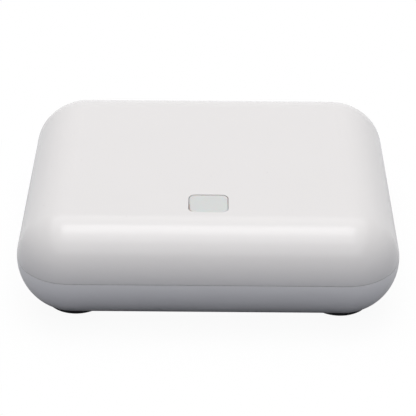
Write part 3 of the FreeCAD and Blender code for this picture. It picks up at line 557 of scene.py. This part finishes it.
# %% Group: moulded grain
grain_group, given, made = new_group(
    "moulded grain", {"Size": 0.3, "Unevenness": 0.3}, {"Height": "NodeSocketFloat"})
tree = grain_group
place = place_in_mm(tree)
fine = noise(tree, place, calculate(tree, "DIVIDE", 1.0, given["Size"]), detail=3.0, roughness=0.6)
COARSE_STEP = 0.12               # the coarse waves are about eight grains long
coarse_scale = calculate(tree, "DIVIDE", COARSE_STEP, given["Size"])
coarse = calculate(tree, "MULTIPLY", noise(tree, place, coarse_scale), given["Unevenness"])
tree.links.new(calculate(tree, "ADD", fine, coarse), made["Height"])

# %% Group: handling
handling_group, given, made = new_group(
    "handling", {"Smoothest": 0.1, "Dullest": 0.2, "Patch": 14.0}, {"Roughness": "NodeSocketFloat"})
tree = handling_group
place = place_in_mm(tree)
SMEAR_EDGES = (0.35, 0.7)        # the noise values between which it sets in
smears = noise(tree, place, calculate(tree, "DIVIDE", 1.0, given["Patch"]), detail=4.0, roughness=0.65)
smear_mask = fade(tree, smears, *SMEAR_EDGES)
tree.links.new(add_node(tree, "ShaderNodeMapRange",
                        {"Value": smear_mask, "To Min": given["Smoothest"],
                         "To Max": given["Dullest"]}).outputs["Result"], made["Roughness"])

# %% Group: resting dust
dust_group, given, made = new_group(
    "resting dust", {"Spacing": 9.0, "Speck": 0.12, "Share": 0.3}, {"Mask": "NodeSocketFloat"})
tree = dust_group
FACING_UP = 0.55                 # dust stays on what faces up more than this
SPECK_SIZES = (0.4, 1.2)         # the smallest and the largest, as shares of the input
cells = add_node(tree, "ShaderNodeTexVoronoi",
                 {"Vector": place_in_mm(tree), "Scale": calculate(tree, "DIVIDE", 1.0, given["Spacing"])},
                 voronoi_dimensions="2D").outputs
draw = add_node(tree, "ShaderNodeSeparateColor", {0: cells["Color"]}).outputs
distance = calculate(tree, "MULTIPLY", cells["Distance"], given["Spacing"])
speck = calculate(tree, "MULTIPLY", given["Speck"], fade(tree, draw[1], 0.0, 1.0, *SPECK_SIZES))
near = calculate(tree, "LESS_THAN", distance, speck)
kept = calculate(tree, "LESS_THAN", draw[0], given["Share"])
up_mask = calculate(tree, "GREATER_THAN", split(tree, surface_normal(tree))[2], FACING_UP)
tree.links.new(calculate(tree, "MULTIPLY", near, calculate(tree, "MULTIPLY", kept, up_mask)), made["Mask"])

# %% Group: reach past a rectangle
reach_group, given, made = new_group(
    "reach past a rectangle", {"Half x": 1.0, "Half y": 1.0, "Middle y": 0.0, "Sideways": 1.0},
    {"Reach": "NodeSocketFloat"})
tree = reach_group
axes = split(tree, place_in_mm(tree))
from_middle = calculate(tree, "SUBTRACT", axes[1], given["Middle y"])
past_x = calculate(tree, "SUBTRACT", calculate(tree, "ABSOLUTE", axes[0]), given["Half x"])
past_y = calculate(tree, "SUBTRACT", calculate(tree, "ABSOLUTE", from_middle), given["Half y"])
past_x = calculate(tree, "MULTIPLY", calculate(tree, "MAXIMUM", past_x, 0.0), given["Sideways"])
past_y = calculate(tree, "MAXIMUM", past_y, 0.0)
squared_x, squared_y = (calculate(tree, "POWER", past, 2.0) for past in (past_x, past_y))
squares = calculate(tree, "ADD", squared_x, squared_y)
tree.links.new(calculate(tree, "SQRT", squares), made["Reach"])

# %% Group: gathered dirt, which round the key also carries painted shade
dirt_and_shade_group, given, made = new_group(
    "gathered dirt and painted shade", {"Distance": 0.0, "Width": 0.3, "Amount": 0.5}, {"Mask": "NodeSocketFloat"})
tree = dirt_and_shade_group
DIRT_CLUMPS = 0.8                # per millimetre
CLUMP_EDGES = (0.3, 0.7)         # the noise values between which it sets in
CLUMP_AMOUNTS = (0.6, 1.0)       # between the clumps and on them
FULL_SHARE = 0.3                 # it is thickest out to this share of its width
patches = noise(tree, place_in_mm(tree), DIRT_CLUMPS, detail=3.0)
clumps = fade(tree, patches, *CLUMP_EDGES, *CLUMP_AMOUNTS)
away = calculate(tree, "ABSOLUTE", given["Distance"])
full_width = calculate(tree, "MULTIPLY", given["Width"], FULL_SHARE)
thick = fade(tree, away, full_width, given["Width"], 1.0, 0.0)
amount = calculate(tree, "MULTIPLY", given["Amount"], clumps)
tree.links.new(calculate(tree, "MULTIPLY", thick, amount), made["Mask"])

# %% [markdown]
# ## Finishes: metal
#
# Sheet metal shows the direction in which it was rolled, drawn or brushed. The group stretches a
# noise along one direction and gives the streaks as a value, which a material turns into a slight
# change of shade, gloss and height.

# %% Group: drawn streaks
streak_group, given, made = new_group(
    "drawn streaks", {"Along x": 0.1, "Along y": 4.0, "Along z": 4.0}, {"Streak": "NodeSocketFloat"})
tree = streak_group
stretch = add_node(tree, "ShaderNodeCombineXYZ",
                   {0: given["Along x"], 1: given["Along y"], 2: given["Along z"]}).outputs[0]
stretched = add_node(tree, "ShaderNodeVectorMath", {0: place_in_mm(tree), 1: stretch},
                     operation="MULTIPLY").outputs[0]
tree.links.new(noise(tree, stretched, 1.0, detail=4.0, roughness=0.6), made["Streak"])
print("node groups made:", len(bpy.data.node_groups))

# %% [markdown]
# ## Finishes: one function for each family
#
# A plastic and a metal differ in what drives them, and pieces of one family differ only in numbers. A
# number that is the same all over, such as the amount of coat or the refractive index, goes straight
# onto the shader's own socket.

# %% Make a material and its shader
DUST_COLOUR = (0.42, 0.38, 0.34, 1.0)
DUST_STRENGTH = 0.5              # how much of the plastic's own colour a speck hides
STREAK_EDGES = (0.3, 0.7)        # the streak values that are smoothest and dullest


def start_material(name, **fixed):
    """A new material, its tree and its shader, with the numbers that are the same all over."""
    material = bpy.data.materials.new(name)
    material.use_nodes = True
    shader = material.node_tree.nodes["Principled BSDF"]
    for label, value in fixed.items():
        shader.inputs[label.replace("_", " ")].default_value = value
    return material, material.node_tree, shader


def drifting(tree, colour, amount, patch):
    """A colour, or a socket that gives one, with the slight drift of tone over patches of that size."""
    return use_group(tree, drift_group, colour=colour, amount=amount, patch=patch)["Colour"]


def put_gloss(tree, shader, smoothest, dullest):
    """Feeds the shader a roughness between these two that follows the handling."""
    polish = use_group(tree, handling_group, smoothest=smoothest, dullest=dullest)["Roughness"]
    tree.links.new(polish, shader.inputs["Roughness"])


def put_height(tree, shader, height, depth):
    """Feeds a height to the shader's normal through a Bump node. The depth is in millimetres."""
    bump = add_node(tree, "ShaderNodeBump", {"Height": height, "Distance": depth * MM, "Strength": 1.0})
    tree.links.new(bump.outputs[0], shader.inputs["Normal"])


def moulded(name, colour, gloss, grain=0.3, depth=0.004, drift=0.03, patch=20.0, dust=0.0, joints=(),
            **fixed):
    """A moulded plastic or rubber. Gloss is the smoothest and the dullest roughness.

    Joints are pairs of a function that draws a mask of dirt in the material's tree, and its colour.
    Round the key that mask is partly painted shade.
    """
    material, tree, shader = start_material(name, **fixed)
    shade = drifting(tree, (*colour, 1.0), drift, patch)
    for draw_mask, dirt_and_shade_colour in joints:
        shade = mix_colours(tree, draw_mask(tree), shade, dirt_and_shade_colour)
    if dust:
        specks = use_group(tree, dust_group, share=dust)["Mask"]
        shade = mix_colours(tree, calculate(tree, "MULTIPLY", specks, DUST_STRENGTH), shade, DUST_COLOUR)
    tree.links.new(shade, shader.inputs["Base Color"])
    put_gloss(tree, shader, *gloss)
    put_height(tree, shader, use_group(tree, grain_group, size=grain)["Height"], depth)
    return material


def metal(name, colour, gloss, streaks, depth=0.002, drift=0.12):
    """A bare or plated metal with streaks. Streaks are counts per millimetre along x, y and z."""
    material, tree, shader = start_material(name, Metallic=1.0)
    along_x, along_y, along_z = streaks
    streak = use_group(tree, streak_group, along_x=along_x, along_y=along_y, along_z=along_z)["Streak"]
    bright = calculate(tree, "MULTIPLY_ADD", streak, drift, 1.0 - drift / 2)
    tree.links.new(mix_colours(tree, 1.0, (*colour, 1.0), bright, "MULTIPLY"), shader.inputs["Base Color"])
    tree.links.new(fade(tree, streak, *STREAK_EDGES, *gloss), shader.inputs["Roughness"])
    put_height(tree, shader, streak, depth)
    return material


# %% [markdown]
# ## The outside plastics
#
# The cover is polished: broad soft reflections, a very faint unevenness, and a speck of dust here and
# there. The base is almost the same white, from a mould with a fine satin texture, so the light on it
# spreads. It looks cooler because it faces the floor, whose light is a little blue. The key is frosted
# and lets some light in, which a little scattering gives it.
#
# Dirt shows as a thin olive line along the seam. Round the key a brown line is partly dirt and partly
# painted shade, and the painted shade makes it heaviest at the window's left front corner.

# %% Dirt in the seam, and dirt with painted shade round the key
SEAM_MIDDLE = 19.55              # millimetres above the table
SEAM_DIRT = (0.17, 0.165, 0.13, 1.0)
SEAM_DIRT_WIDTH, SEAM_DIRT_AMOUNT = 0.24, 0.33
# The brown round the key is dirt, with painted shade added where the gap lies in shade at the left front.
WINDOW_DIRT_AND_SHADE = (0.25, 0.15, 0.10, 1.0)
WINDOW_CORNER = 2.2              # millimetres, as are the lengths below
WINDOW_HALF = (6.45, 5.2)        # along x and y
DIRT_AND_SHADE_INSET = 0.26                # the middle of the dirt and painted shade lies this far inside the window's edge
# The width below is that of the dirt and painted shade together.
DIRT_WIDTH = 0.36
HEAVY_LEFT = 2.0                 # the heavy part, painted shade over dirt, ends this far from the window's left edge
HEAVY_SPAN = (-3.0, 2.2)         # it thins from the first to the second, behind the key's middle
HEAVY_AMOUNTS = (0.9, 0.05)      # in front of that span and behind it
THIN_DIRT = 0.12                 # the amount in the gap everywhere
THIN_HEIGHTS = (34.81, 34.93)    # the thin dirt fades out between these heights above the table


def seam_dirt(tree):
    """A mask that is thickest in the seam's middle."""
    height = split(tree, place_in_mm(tree))[2]
    distance = calculate(tree, "SUBTRACT", height, SEAM_MIDDLE)
    return use_group(tree, dirt_and_shade_group, distance=distance, width=SEAM_DIRT_WIDTH,
                     amount=SEAM_DIRT_AMOUNT)["Mask"]


def window_dirt_and_shade(tree):
    """A mask of dirt and painted shade along the window: heavy painted shade at the left front, thin dirt
    only in the gap elsewhere.
    """
    middle = key_centre.y / MM
    reach = use_group(tree, reach_group, half_x=WINDOW_HALF[0] - WINDOW_CORNER,
                      half_y=WINDOW_HALF[1] - WINDOW_CORNER, middle_y=middle)["Reach"]
    distance = calculate(tree, "SUBTRACT", reach, WINDOW_CORNER - DIRT_AND_SHADE_INSET)
    axes = split(tree, place_in_mm(tree))
    # Painted shade: these fades make the mask heavy at the window's left front.
    left = fade(tree, axes[0], -WINDOW_HALF[0], -WINDOW_HALF[0] + HEAVY_LEFT, 1.0, 0.0)
    front = fade(tree, axes[1], middle + HEAVY_SPAN[0], middle + HEAVY_SPAN[1], *HEAVY_AMOUNTS)
    low = fade(tree, axes[2], *THIN_HEIGHTS, THIN_DIRT, 0.0)
    amount = calculate(tree, "MAXIMUM", calculate(tree, "MULTIPLY", left, front), low)
    return use_group(tree, dirt_and_shade_group, distance=distance, width=DIRT_WIDTH, amount=amount)["Mask"]


# %% Cover, base, door, key and feet
# On the cover and the key, the window's mask is dirt and painted shade.
cover_plastic = moulded("cover gloss white", (0.785, 0.760, 0.749), (0.17, 0.22), grain=1.1, depth=0.0006,
                        drift=0.012, patch=30.0, dust=0.25, IOR=1.49,
                        joints=((seam_dirt, SEAM_DIRT), (window_dirt_and_shade, WINDOW_DIRT_AND_SHADE)))
base_plastic = moulded("base satin white", (0.908, 0.889, 0.884), (0.34, 0.42), grain=0.16, depth=0.0035,
                       drift=0.02, patch=25.0, IOR=1.46, joints=((seam_dirt, SEAM_DIRT),))
key_plastic = moulded("key frosted", (0.64, 0.65, 0.635), (0.28, 0.38), grain=0.12, depth=0.002,
                      drift=0.02, patch=5.0, joints=((window_dirt_and_shade, WINDOW_DIRT_AND_SHADE),),
                      IOR=1.49, Subsurface_Weight=0.25, Subsurface_Scale=0.8 * MM)
foot_rubber = moulded("foot rubber", (0.055, 0.055, 0.058), (0.62, 0.8), grain=0.35, depth=0.02,
                      drift=0.3, patch=6.0)

cover.data.materials.append(cover_plastic)
base.data.materials.append(base_plastic)
key.data.materials.append(key_plastic)
for foot in feet:
    foot.data.materials.append(foot_rubber)

# %% [markdown]
# ## The pieces inside
#
# Nobody sees most of them until the hub is opened, but each one has a finish of its own.
# Round pieces, wires and leads stay as CAD pieces: only the material in their slot changes.

# %% Dress the CAD pieces and the softened copies
def dress(material, *names):
    """Puts a material on CAD nodes, or on the softened copies that stand in for them."""
    for name in names:
        softened.get(name, nodes[name]).data.materials[0] = material


dress(base_plastic, "battery_door")
dress(metal("screw steel", (0.50, 0.50, 0.52), (0.3, 0.45), streaks=(3.0, 3.0, 0.4)), "case_screws")
dress(moulded("shroud white", (0.80, 0.80, 0.78), (0.4, 0.55), grain=0.25), "light_shroud")
dress(moulded("switch black", (0.020, 0.020, 0.022), (0.4, 0.55)), "status_switch_body",
      "reset_switch_body")
dress(moulded("switch button", (0.055, 0.055, 0.06), (0.35, 0.5)), "status_switch_plunger",
      "reset_button")
dress(moulded("socket black", (0.014, 0.014, 0.016), (0.3, 0.42), grain=0.2), "ethernet_insert",
      "power_jack_housing")
dress(metal("socket shield", (0.66, 0.66, 0.65), (0.2, 0.34), streaks=(0.15, 0.15, 5.0)), "ethernet_shield")
dress(metal("contact gold", (0.86, 0.60, 0.22), (0.14, 0.24), streaks=(8.0, 0.4, 8.0)), "ethernet_wires")
dress(moulded("indicator lens", (0.55, 0.66, 0.48), (0.1, 0.2), grain=0.4, Transmission_Weight=0.4),
      "ethernet_indicators")
dress(metal("nickel pin", (0.72, 0.70, 0.66), (0.14, 0.26), streaks=(6.0, 0.3, 6.0)), "power_jack_pin",
      "power_jack_leaf")
dress(metal("spring nickel", (0.66, 0.65, 0.63), (0.2, 0.32), streaks=(2.0, 2.0, 2.0)), "battery_springs")
dress(metal("plate nickel", (0.70, 0.68, 0.65), (0.18, 0.3), streaks=(0.2, 3.0, 3.0)),
      "battery_contact_plates")
dress(moulded("connector ivory", (0.72, 0.67, 0.54), (0.4, 0.5), grain=0.25), "siren_connector")
dress(moulded("siren black", (0.016, 0.016, 0.018), (0.45, 0.6)), "siren_case")
dress(metal("disc brass", (0.75, 0.56, 0.26), (0.2, 0.34), streaks=(0.2, 4.0, 4.0)), "siren_disc")
dress(metal("can tin", (0.64, 0.64, 0.63), (0.24, 0.4), streaks=(0.12, 4.0, 4.0)), "shield_can",
      "radio_module")
dress(moulded("chip black", (0.018, 0.018, 0.020), (0.5, 0.62), grain=0.12), "processor", "memory_chip")
dress(metal("antenna tin", (0.70, 0.69, 0.65), (0.2, 0.34), streaks=(4.0, 0.2, 4.0)), "strip_antenna")
dress(metal("capacitor can", (0.70, 0.71, 0.73), (0.16, 0.28), streaks=(3.0, 3.0, 0.2)), "capacitors")
dress(moulded("inductor ferrite", (0.05, 0.05, 0.052), (0.5, 0.7), grain=0.1, depth=0.01), "power_inductor")
print("materials made:", len(bpy.data.materials))

# %% [markdown]
# ## Board, lamps, cells and leads
#
# Four finishes need a drawing of their own. The board has tracks that shine through its green lacquer.
# A lamp is a white package with a yellow dish. A cell wears a printed sleeve between bare metal ends.
# Of each pair of leads, one is red and one is black.

# %% Board lacquer with tracks under it
BOARD_GREEN = (0.012, 0.085, 0.045, 1.0)
TRACK_GREEN = (0.03, 0.17, 0.085, 1.0)
TRACK_PITCH = 1.6                # millimetres
TRACK_SHARE = 0.16               # half a track's width, as a share of the pitch
TRACK_HEIGHT = 0.03              # millimetres
TRACK_FIELD = 0.07               # fields of tracks per millimetre
FIELDS_ALONG_X = 0.5             # share of the fields whose tracks run along x
BARE_FIELDS = 0.35               # share of the fields without tracks

board_lacquer, tree, shader = start_material("board laminate", Coat_Weight=0.4, Coat_Roughness=0.15,
                                             Roughness=0.35)
place = place_in_mm(tree)
axes = split(tree, place)
fields = add_node(tree, "ShaderNodeTexVoronoi", {"Vector": place, "Scale": TRACK_FIELD},
                  voronoi_dimensions="2D", distance="CHEBYCHEV").outputs
field_draw = add_node(tree, "ShaderNodeSeparateColor", {0: fields["Color"]}).outputs
runs_along_x = calculate(tree, "GREATER_THAN", field_draw[0], 1.0 - FIELDS_ALONG_X)
across = add_node(tree, "ShaderNodeMix", {0: runs_along_x, 2: axes[0], 3: axes[1]}).outputs[0]
stripe = calculate(tree, "PINGPONG", across, TRACK_PITCH / 2)
track = calculate(tree, "LESS_THAN", stripe, TRACK_PITCH * TRACK_SHARE)
track = calculate(tree, "MULTIPLY", track, calculate(tree, "GREATER_THAN", field_draw[1], BARE_FIELDS))
lacquer = drifting(tree, BOARD_GREEN, amount=0.15, patch=8.0)
tree.links.new(mix_colours(tree, track, lacquer, TRACK_GREEN), shader.inputs["Base Color"])
put_height(tree, shader, track, TRACK_HEIGHT)
dress(board_lacquer, "main_board")

# %% Lamps with a yellow dish
LAMP_WHITE = (0.80, 0.79, 0.74, 1.0)
LAMP_YELLOW = (0.80, 0.60, 0.10, 1.0)
DISH_CEILING = 23.65             # millimetres: the dish lies under this height
DISH_FACING = 0.3                # the dish faces up more than this

lamp_package, tree, shader = start_material("lamp package", Roughness=0.3, Coat_Weight=0.3)
low_place = calculate(tree, "LESS_THAN", split(tree, place_in_mm(tree))[2], DISH_CEILING)
faces_up = calculate(tree, "GREATER_THAN", split(tree, surface_normal(tree))[2], DISH_FACING)
dish = calculate(tree, "MULTIPLY", low_place, faces_up)
package = drifting(tree, LAMP_WHITE, amount=0.1, patch=1.0)
tree.links.new(mix_colours(tree, dish, package, LAMP_YELLOW), shader.inputs["Base Color"])
dress(lamp_package, "status_lamps")

# %% Cells with a sleeve between bare ends
SLEEVE_DARK = (0.035, 0.045, 0.06, 1.0)
SLEEVE_BAND = (0.42, 0.44, 0.47, 1.0)
BARE_CAN = (0.72, 0.71, 0.69, 1.0)
END_MARGIN = 1.2                 # millimetres of bare metal at each end
BAND_START = 0.68                # share of the length at which the pale band begins
SLEEVE_GLOSS = (0.18, 0.32)


def cell_finish(node_name, index):
    """A dark sleeve with a pale band towards the nub, and bare metal past each end of it."""
    low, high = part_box(node_name)
    material, tree, shader = start_material(f"cell sleeve {index}", Coat_Weight=0.5, Coat_Roughness=0.1)
    along = split(tree, place_in_mm(tree))[1]
    start, end = low.y / MM + END_MARGIN, high.y / MM - END_MARGIN
    share = add_node(tree, "ShaderNodeMapRange",
                     {"Value": along, "From Min": start, "From Max": end}, clamp=False).outputs[0]
    if index % 2:                # every other cell lies the other way round
        share = calculate(tree, "SUBTRACT", 1.0, share)
    from_middle = calculate(tree, "ABSOLUTE", calculate(tree, "SUBTRACT", share, 0.5))
    bare = calculate(tree, "GREATER_THAN", from_middle, 0.5)
    band = calculate(tree, "GREATER_THAN", share, BAND_START)
    sleeve = drifting(tree, SLEEVE_DARK, amount=0.1, patch=9.0)
    printed = mix_colours(tree, band, sleeve, SLEEVE_BAND)
    tree.links.new(mix_colours(tree, bare, printed, BARE_CAN), shader.inputs["Base Color"])
    tree.links.new(bare, shader.inputs["Metallic"])
    put_gloss(tree, shader, *SLEEVE_GLOSS)
    dress(material, node_name)


for k in range(1, 5):
    cell_finish(f"battery_cell_{k}", k)

# %% Leads in red and black
LEAD_RED = (0.42, 0.018, 0.015, 1.0)
LEAD_BLACK = (0.016, 0.016, 0.018, 1.0)
LEAD_GLOSS = (0.35, 0.5)


def lead_finish(node_name):
    """The lead on the left is black and the one on the right is red."""
    low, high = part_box(node_name)
    material, tree, shader = start_material(f"{node_name} sleeve", Coat_Weight=0.15, Coat_Roughness=0.3)
    across = split(tree, place_in_mm(tree))[0]
    right = calculate(tree, "GREATER_THAN", across, (low.x + high.x) / 2 / MM)
    sleeve = mix_colours(tree, right, LEAD_BLACK, LEAD_RED)
    tree.links.new(drifting(tree, sleeve, amount=0.2, patch=4.0), shader.inputs["Base Color"])
    put_gloss(tree, shader, *LEAD_GLOSS)
    dress(material, node_name)


for name in ("battery_leads", "siren_leads"):
    lead_finish(name)
print("materials made in all:", len(bpy.data.materials))

# %% [markdown]
# ## Floor, backdrop and light
#
# The photograph is a product shot: a bright tent with one large soft light overhead, whose reflection
# is the pale band along the front edge, and a white surround. The surround is white only to rays that
# come from the camera or from a reflection. To the diffuse light it is a dark grey, so the white
# plastic keeps its shading. The floor still takes a soft shadow and sends a little blue light back up.
# Near the hub the floor's colour is painted dark, as painted shade round the hub, and the hub's
# reflections show that painted shade too. Seen from below it is clear and gives a little light under
# the hub, so that the underside can be looked at as well.

# %% The surround
AMBIENT = (0.084, 0.092, 0.106, 1.0)  # its diffuse light


def seen_directly(tree):
    """Two masks: one for a ray from the camera, and one for that or a reflection or a transmission."""
    ray = add_node(tree, "ShaderNodeLightPath").outputs
    mirrored = calculate(tree, "MAXIMUM", ray["Is Glossy Ray"], ray["Is Transmission Ray"])
    return ray["Is Camera Ray"], calculate(tree, "MAXIMUM", ray["Is Camera Ray"], mirrored)


world = bpy.data.worlds.new("white surround")
bpy.context.scene.world = world
world.use_nodes = True
tree = world.node_tree
backdrop = tree.nodes["Background"]
tree.links.new(mix_colours(tree, seen_directly(tree)[1], AMBIENT, WHITE), backdrop.inputs["Color"])

# %% The floor
FLOOR_RADIUS = 2.0               # metres
FLOOR_STEPS = 64
FLOOR_DROP = 0.02 * MM           # a hair under the feet, so the two surfaces don't flicker

turn = np.linspace(0, 2 * np.pi, FLOOR_STEPS, endpoint=False)
rim = np.column_stack((FLOOR_RADIUS * np.cos(turn), FLOOR_RADIUS * np.sin(turn), 0 * turn - FLOOR_DROP))
floor_mesh = bpy.data.meshes.new("floor")
floor_mesh.from_pydata(rim.tolist(), [], [list(range(FLOOR_STEPS))])
floor = bpy.data.objects.new("floor", floor_mesh)
bpy.context.scene.collection.objects.link(floor)
print("floor:", FLOOR_STEPS, "points round a circle of", FLOOR_RADIUS, "m")

# %% The floor's paint
FLOOR_PALE = (0.495, 0.508, 0.555, 1.0)
# The floor's painted shade: its colour to the diffuse light near the hub.
FLOOR_PAINTED_SHADE = (0.078, 0.080, 0.088, 1.0)
PAINTED_SHADE_REACH = (24.0, 45.0)        # millimetres past the hub's corner centres, from painted shade to pale
SHADOW_SHARE = 0.06              # how much of the floor's own shading the camera sees near the hub
SHADOW_REACH = (18.0, 50.0)      # where it fades to the white of the backdrop
MIRROR_SHARE = 0.85              # how much of its own colour, painted shade near the hub, the floor shows as the hub mirrors it
MIRROR_NEAR = (11.0, 17.0)       # from all of it, right under the hub's edge, to that share
MIRROR_REACH = (16.0, 270.0)     # where that turns white
MIRROR_FALL = 3.0                # a higher number turns it white sooner
MIRROR_SIDEWAYS = 3.0            # the way along x counts this many times there
UNDER_GLOW = 0.45                # light from under the hub, which only the underside can see
UNDER_REACH = (2.0, 8.0)         # where that light fades out

floor_paint = bpy.data.materials.new("floor")
floor_paint.use_nodes = True
tree = floor_paint.node_tree
tree.nodes.remove(tree.nodes["Principled BSDF"])
camera_ray, direct = seen_directly(tree)
footprint = {"half_x": corner_centre[0] / MM, "half_y": corner_centre[1] / MM}
away = use_group(tree, reach_group, **footprint)["Reach"]
# Painted shade: the floor's colour to the diffuse light is dark near the hub and pale further out.
painted_shade_floor = mix_colours(tree, fade(tree, away, *PAINTED_SHADE_REACH), FLOOR_PAINTED_SHADE, FLOOR_PALE)
matt = add_node(tree, "ShaderNodeBsdfDiffuse", {"Color": mix_colours(tree, camera_ray, painted_shade_floor, WHITE)})
glow = add_node(tree, "ShaderNodeEmission", {"Color": WHITE, "Strength": 1.0})
under_glow = fade(tree, away, *UNDER_REACH, UNDER_GLOW, 0.0)
under_light = add_node(tree, "ShaderNodeEmission", {"Strength": under_glow})
lit_painted_shade_floor = add_node(tree, "ShaderNodeAddShader", {0: matt.outputs[0], 1: under_light.outputs[0]})
seen_shadow = fade(tree, away, *SHADOW_REACH, SHADOW_SHARE, 0.0)
# Near the hub, reflections show the floor's painted shade instead of the white backdrop.
mirror_away = use_group(tree, reach_group, **footprint, sideways=MIRROR_SIDEWAYS)["Reach"]
mirror_fade = calculate(tree, "POWER", fade(tree, mirror_away, *MIRROR_REACH, 1.0, 0.0), MIRROR_FALL)
mirror_share = fade(tree, away, *MIRROR_NEAR, 1.0, MIRROR_SHARE)
mirrored_painted_shade_floor = calculate(tree, "MULTIPLY", mirror_fade, mirror_share)
own_shading = add_node(tree, "ShaderNodeMix", {0: camera_ray, 2: mirrored_painted_shade_floor, 3: seen_shadow}).outputs[0]
glow_share = calculate(tree, "MULTIPLY", direct, calculate(tree, "SUBTRACT", 1.0, own_shading))
upper = add_node(tree, "ShaderNodeMixShader", {0: glow_share, 1: lit_painted_shade_floor.outputs[0], 2: glow.outputs[0]})
from_below = add_node(tree, "ShaderNodeNewGeometry").outputs["Backfacing"]
see_through = add_node(tree, "ShaderNodeBsdfTransparent").outputs[0]
surface = add_node(tree, "ShaderNodeMixShader", {0: from_below, 1: upper.outputs[0], 2: see_through})
tree.links.new(surface.outputs[0], tree.nodes["Material Output"].inputs["Surface"])
floor_mesh.materials.append(floor_paint)

# %% The soft light overhead, its dimmer edge and the glow of the tent round it
# Front and back are counted from the hub's middle. The dimmer edge reaches further forward, so the
# band that the cover reflects fades in two steps.
SOFTBOX = {"height": 0.98, "width": 0.63, "front": 0.00, "back": 0.37, "brightness": 1.92}
SOFTBOX_EDGE = {"height": 1.0, "width": 0.76, "front": -0.34, "back": 0.39, "brightness": 1.22}
TENT_GLOW = {"height": 1.02, "width": 1.60, "front": -1.045, "back": 1.20, "brightness": 1.22}


def hang_light(name, height, width, front, back, brightness):
    """A rectangle that shines down, in metres, with its height counted from the hub's top.

    Its brightness counts the white of the surround as 1. No two hang at the same height, because a
    reflected ray would meet only one of them.
    """
    data = bpy.data.lights.new(name, "AREA")
    data.shape = "RECTANGLE"
    data.size = width
    data.size_y = back - front
    data.energy = brightness * math.pi * width * (back - front)
    light = bpy.data.objects.new(name, data)
    light.location = (0, (front + back) / 2, BODY_HEIGHT + height)
    bpy.context.scene.collection.objects.link(light)
    print(name, "gives", round(data.energy, 2), "W")


hang_light("softbox", **SOFTBOX)
hang_light("softbox_edge", **SOFTBOX_EDGE)
hang_light("tent_glow", **TENT_GLOW)

# %% [markdown]
# ## Finish
#
# The picture is shown as it is computed, with no colour grading.

# %% Show the picture as it is computed
bpy.context.scene.view_settings.view_transform = "Standard"
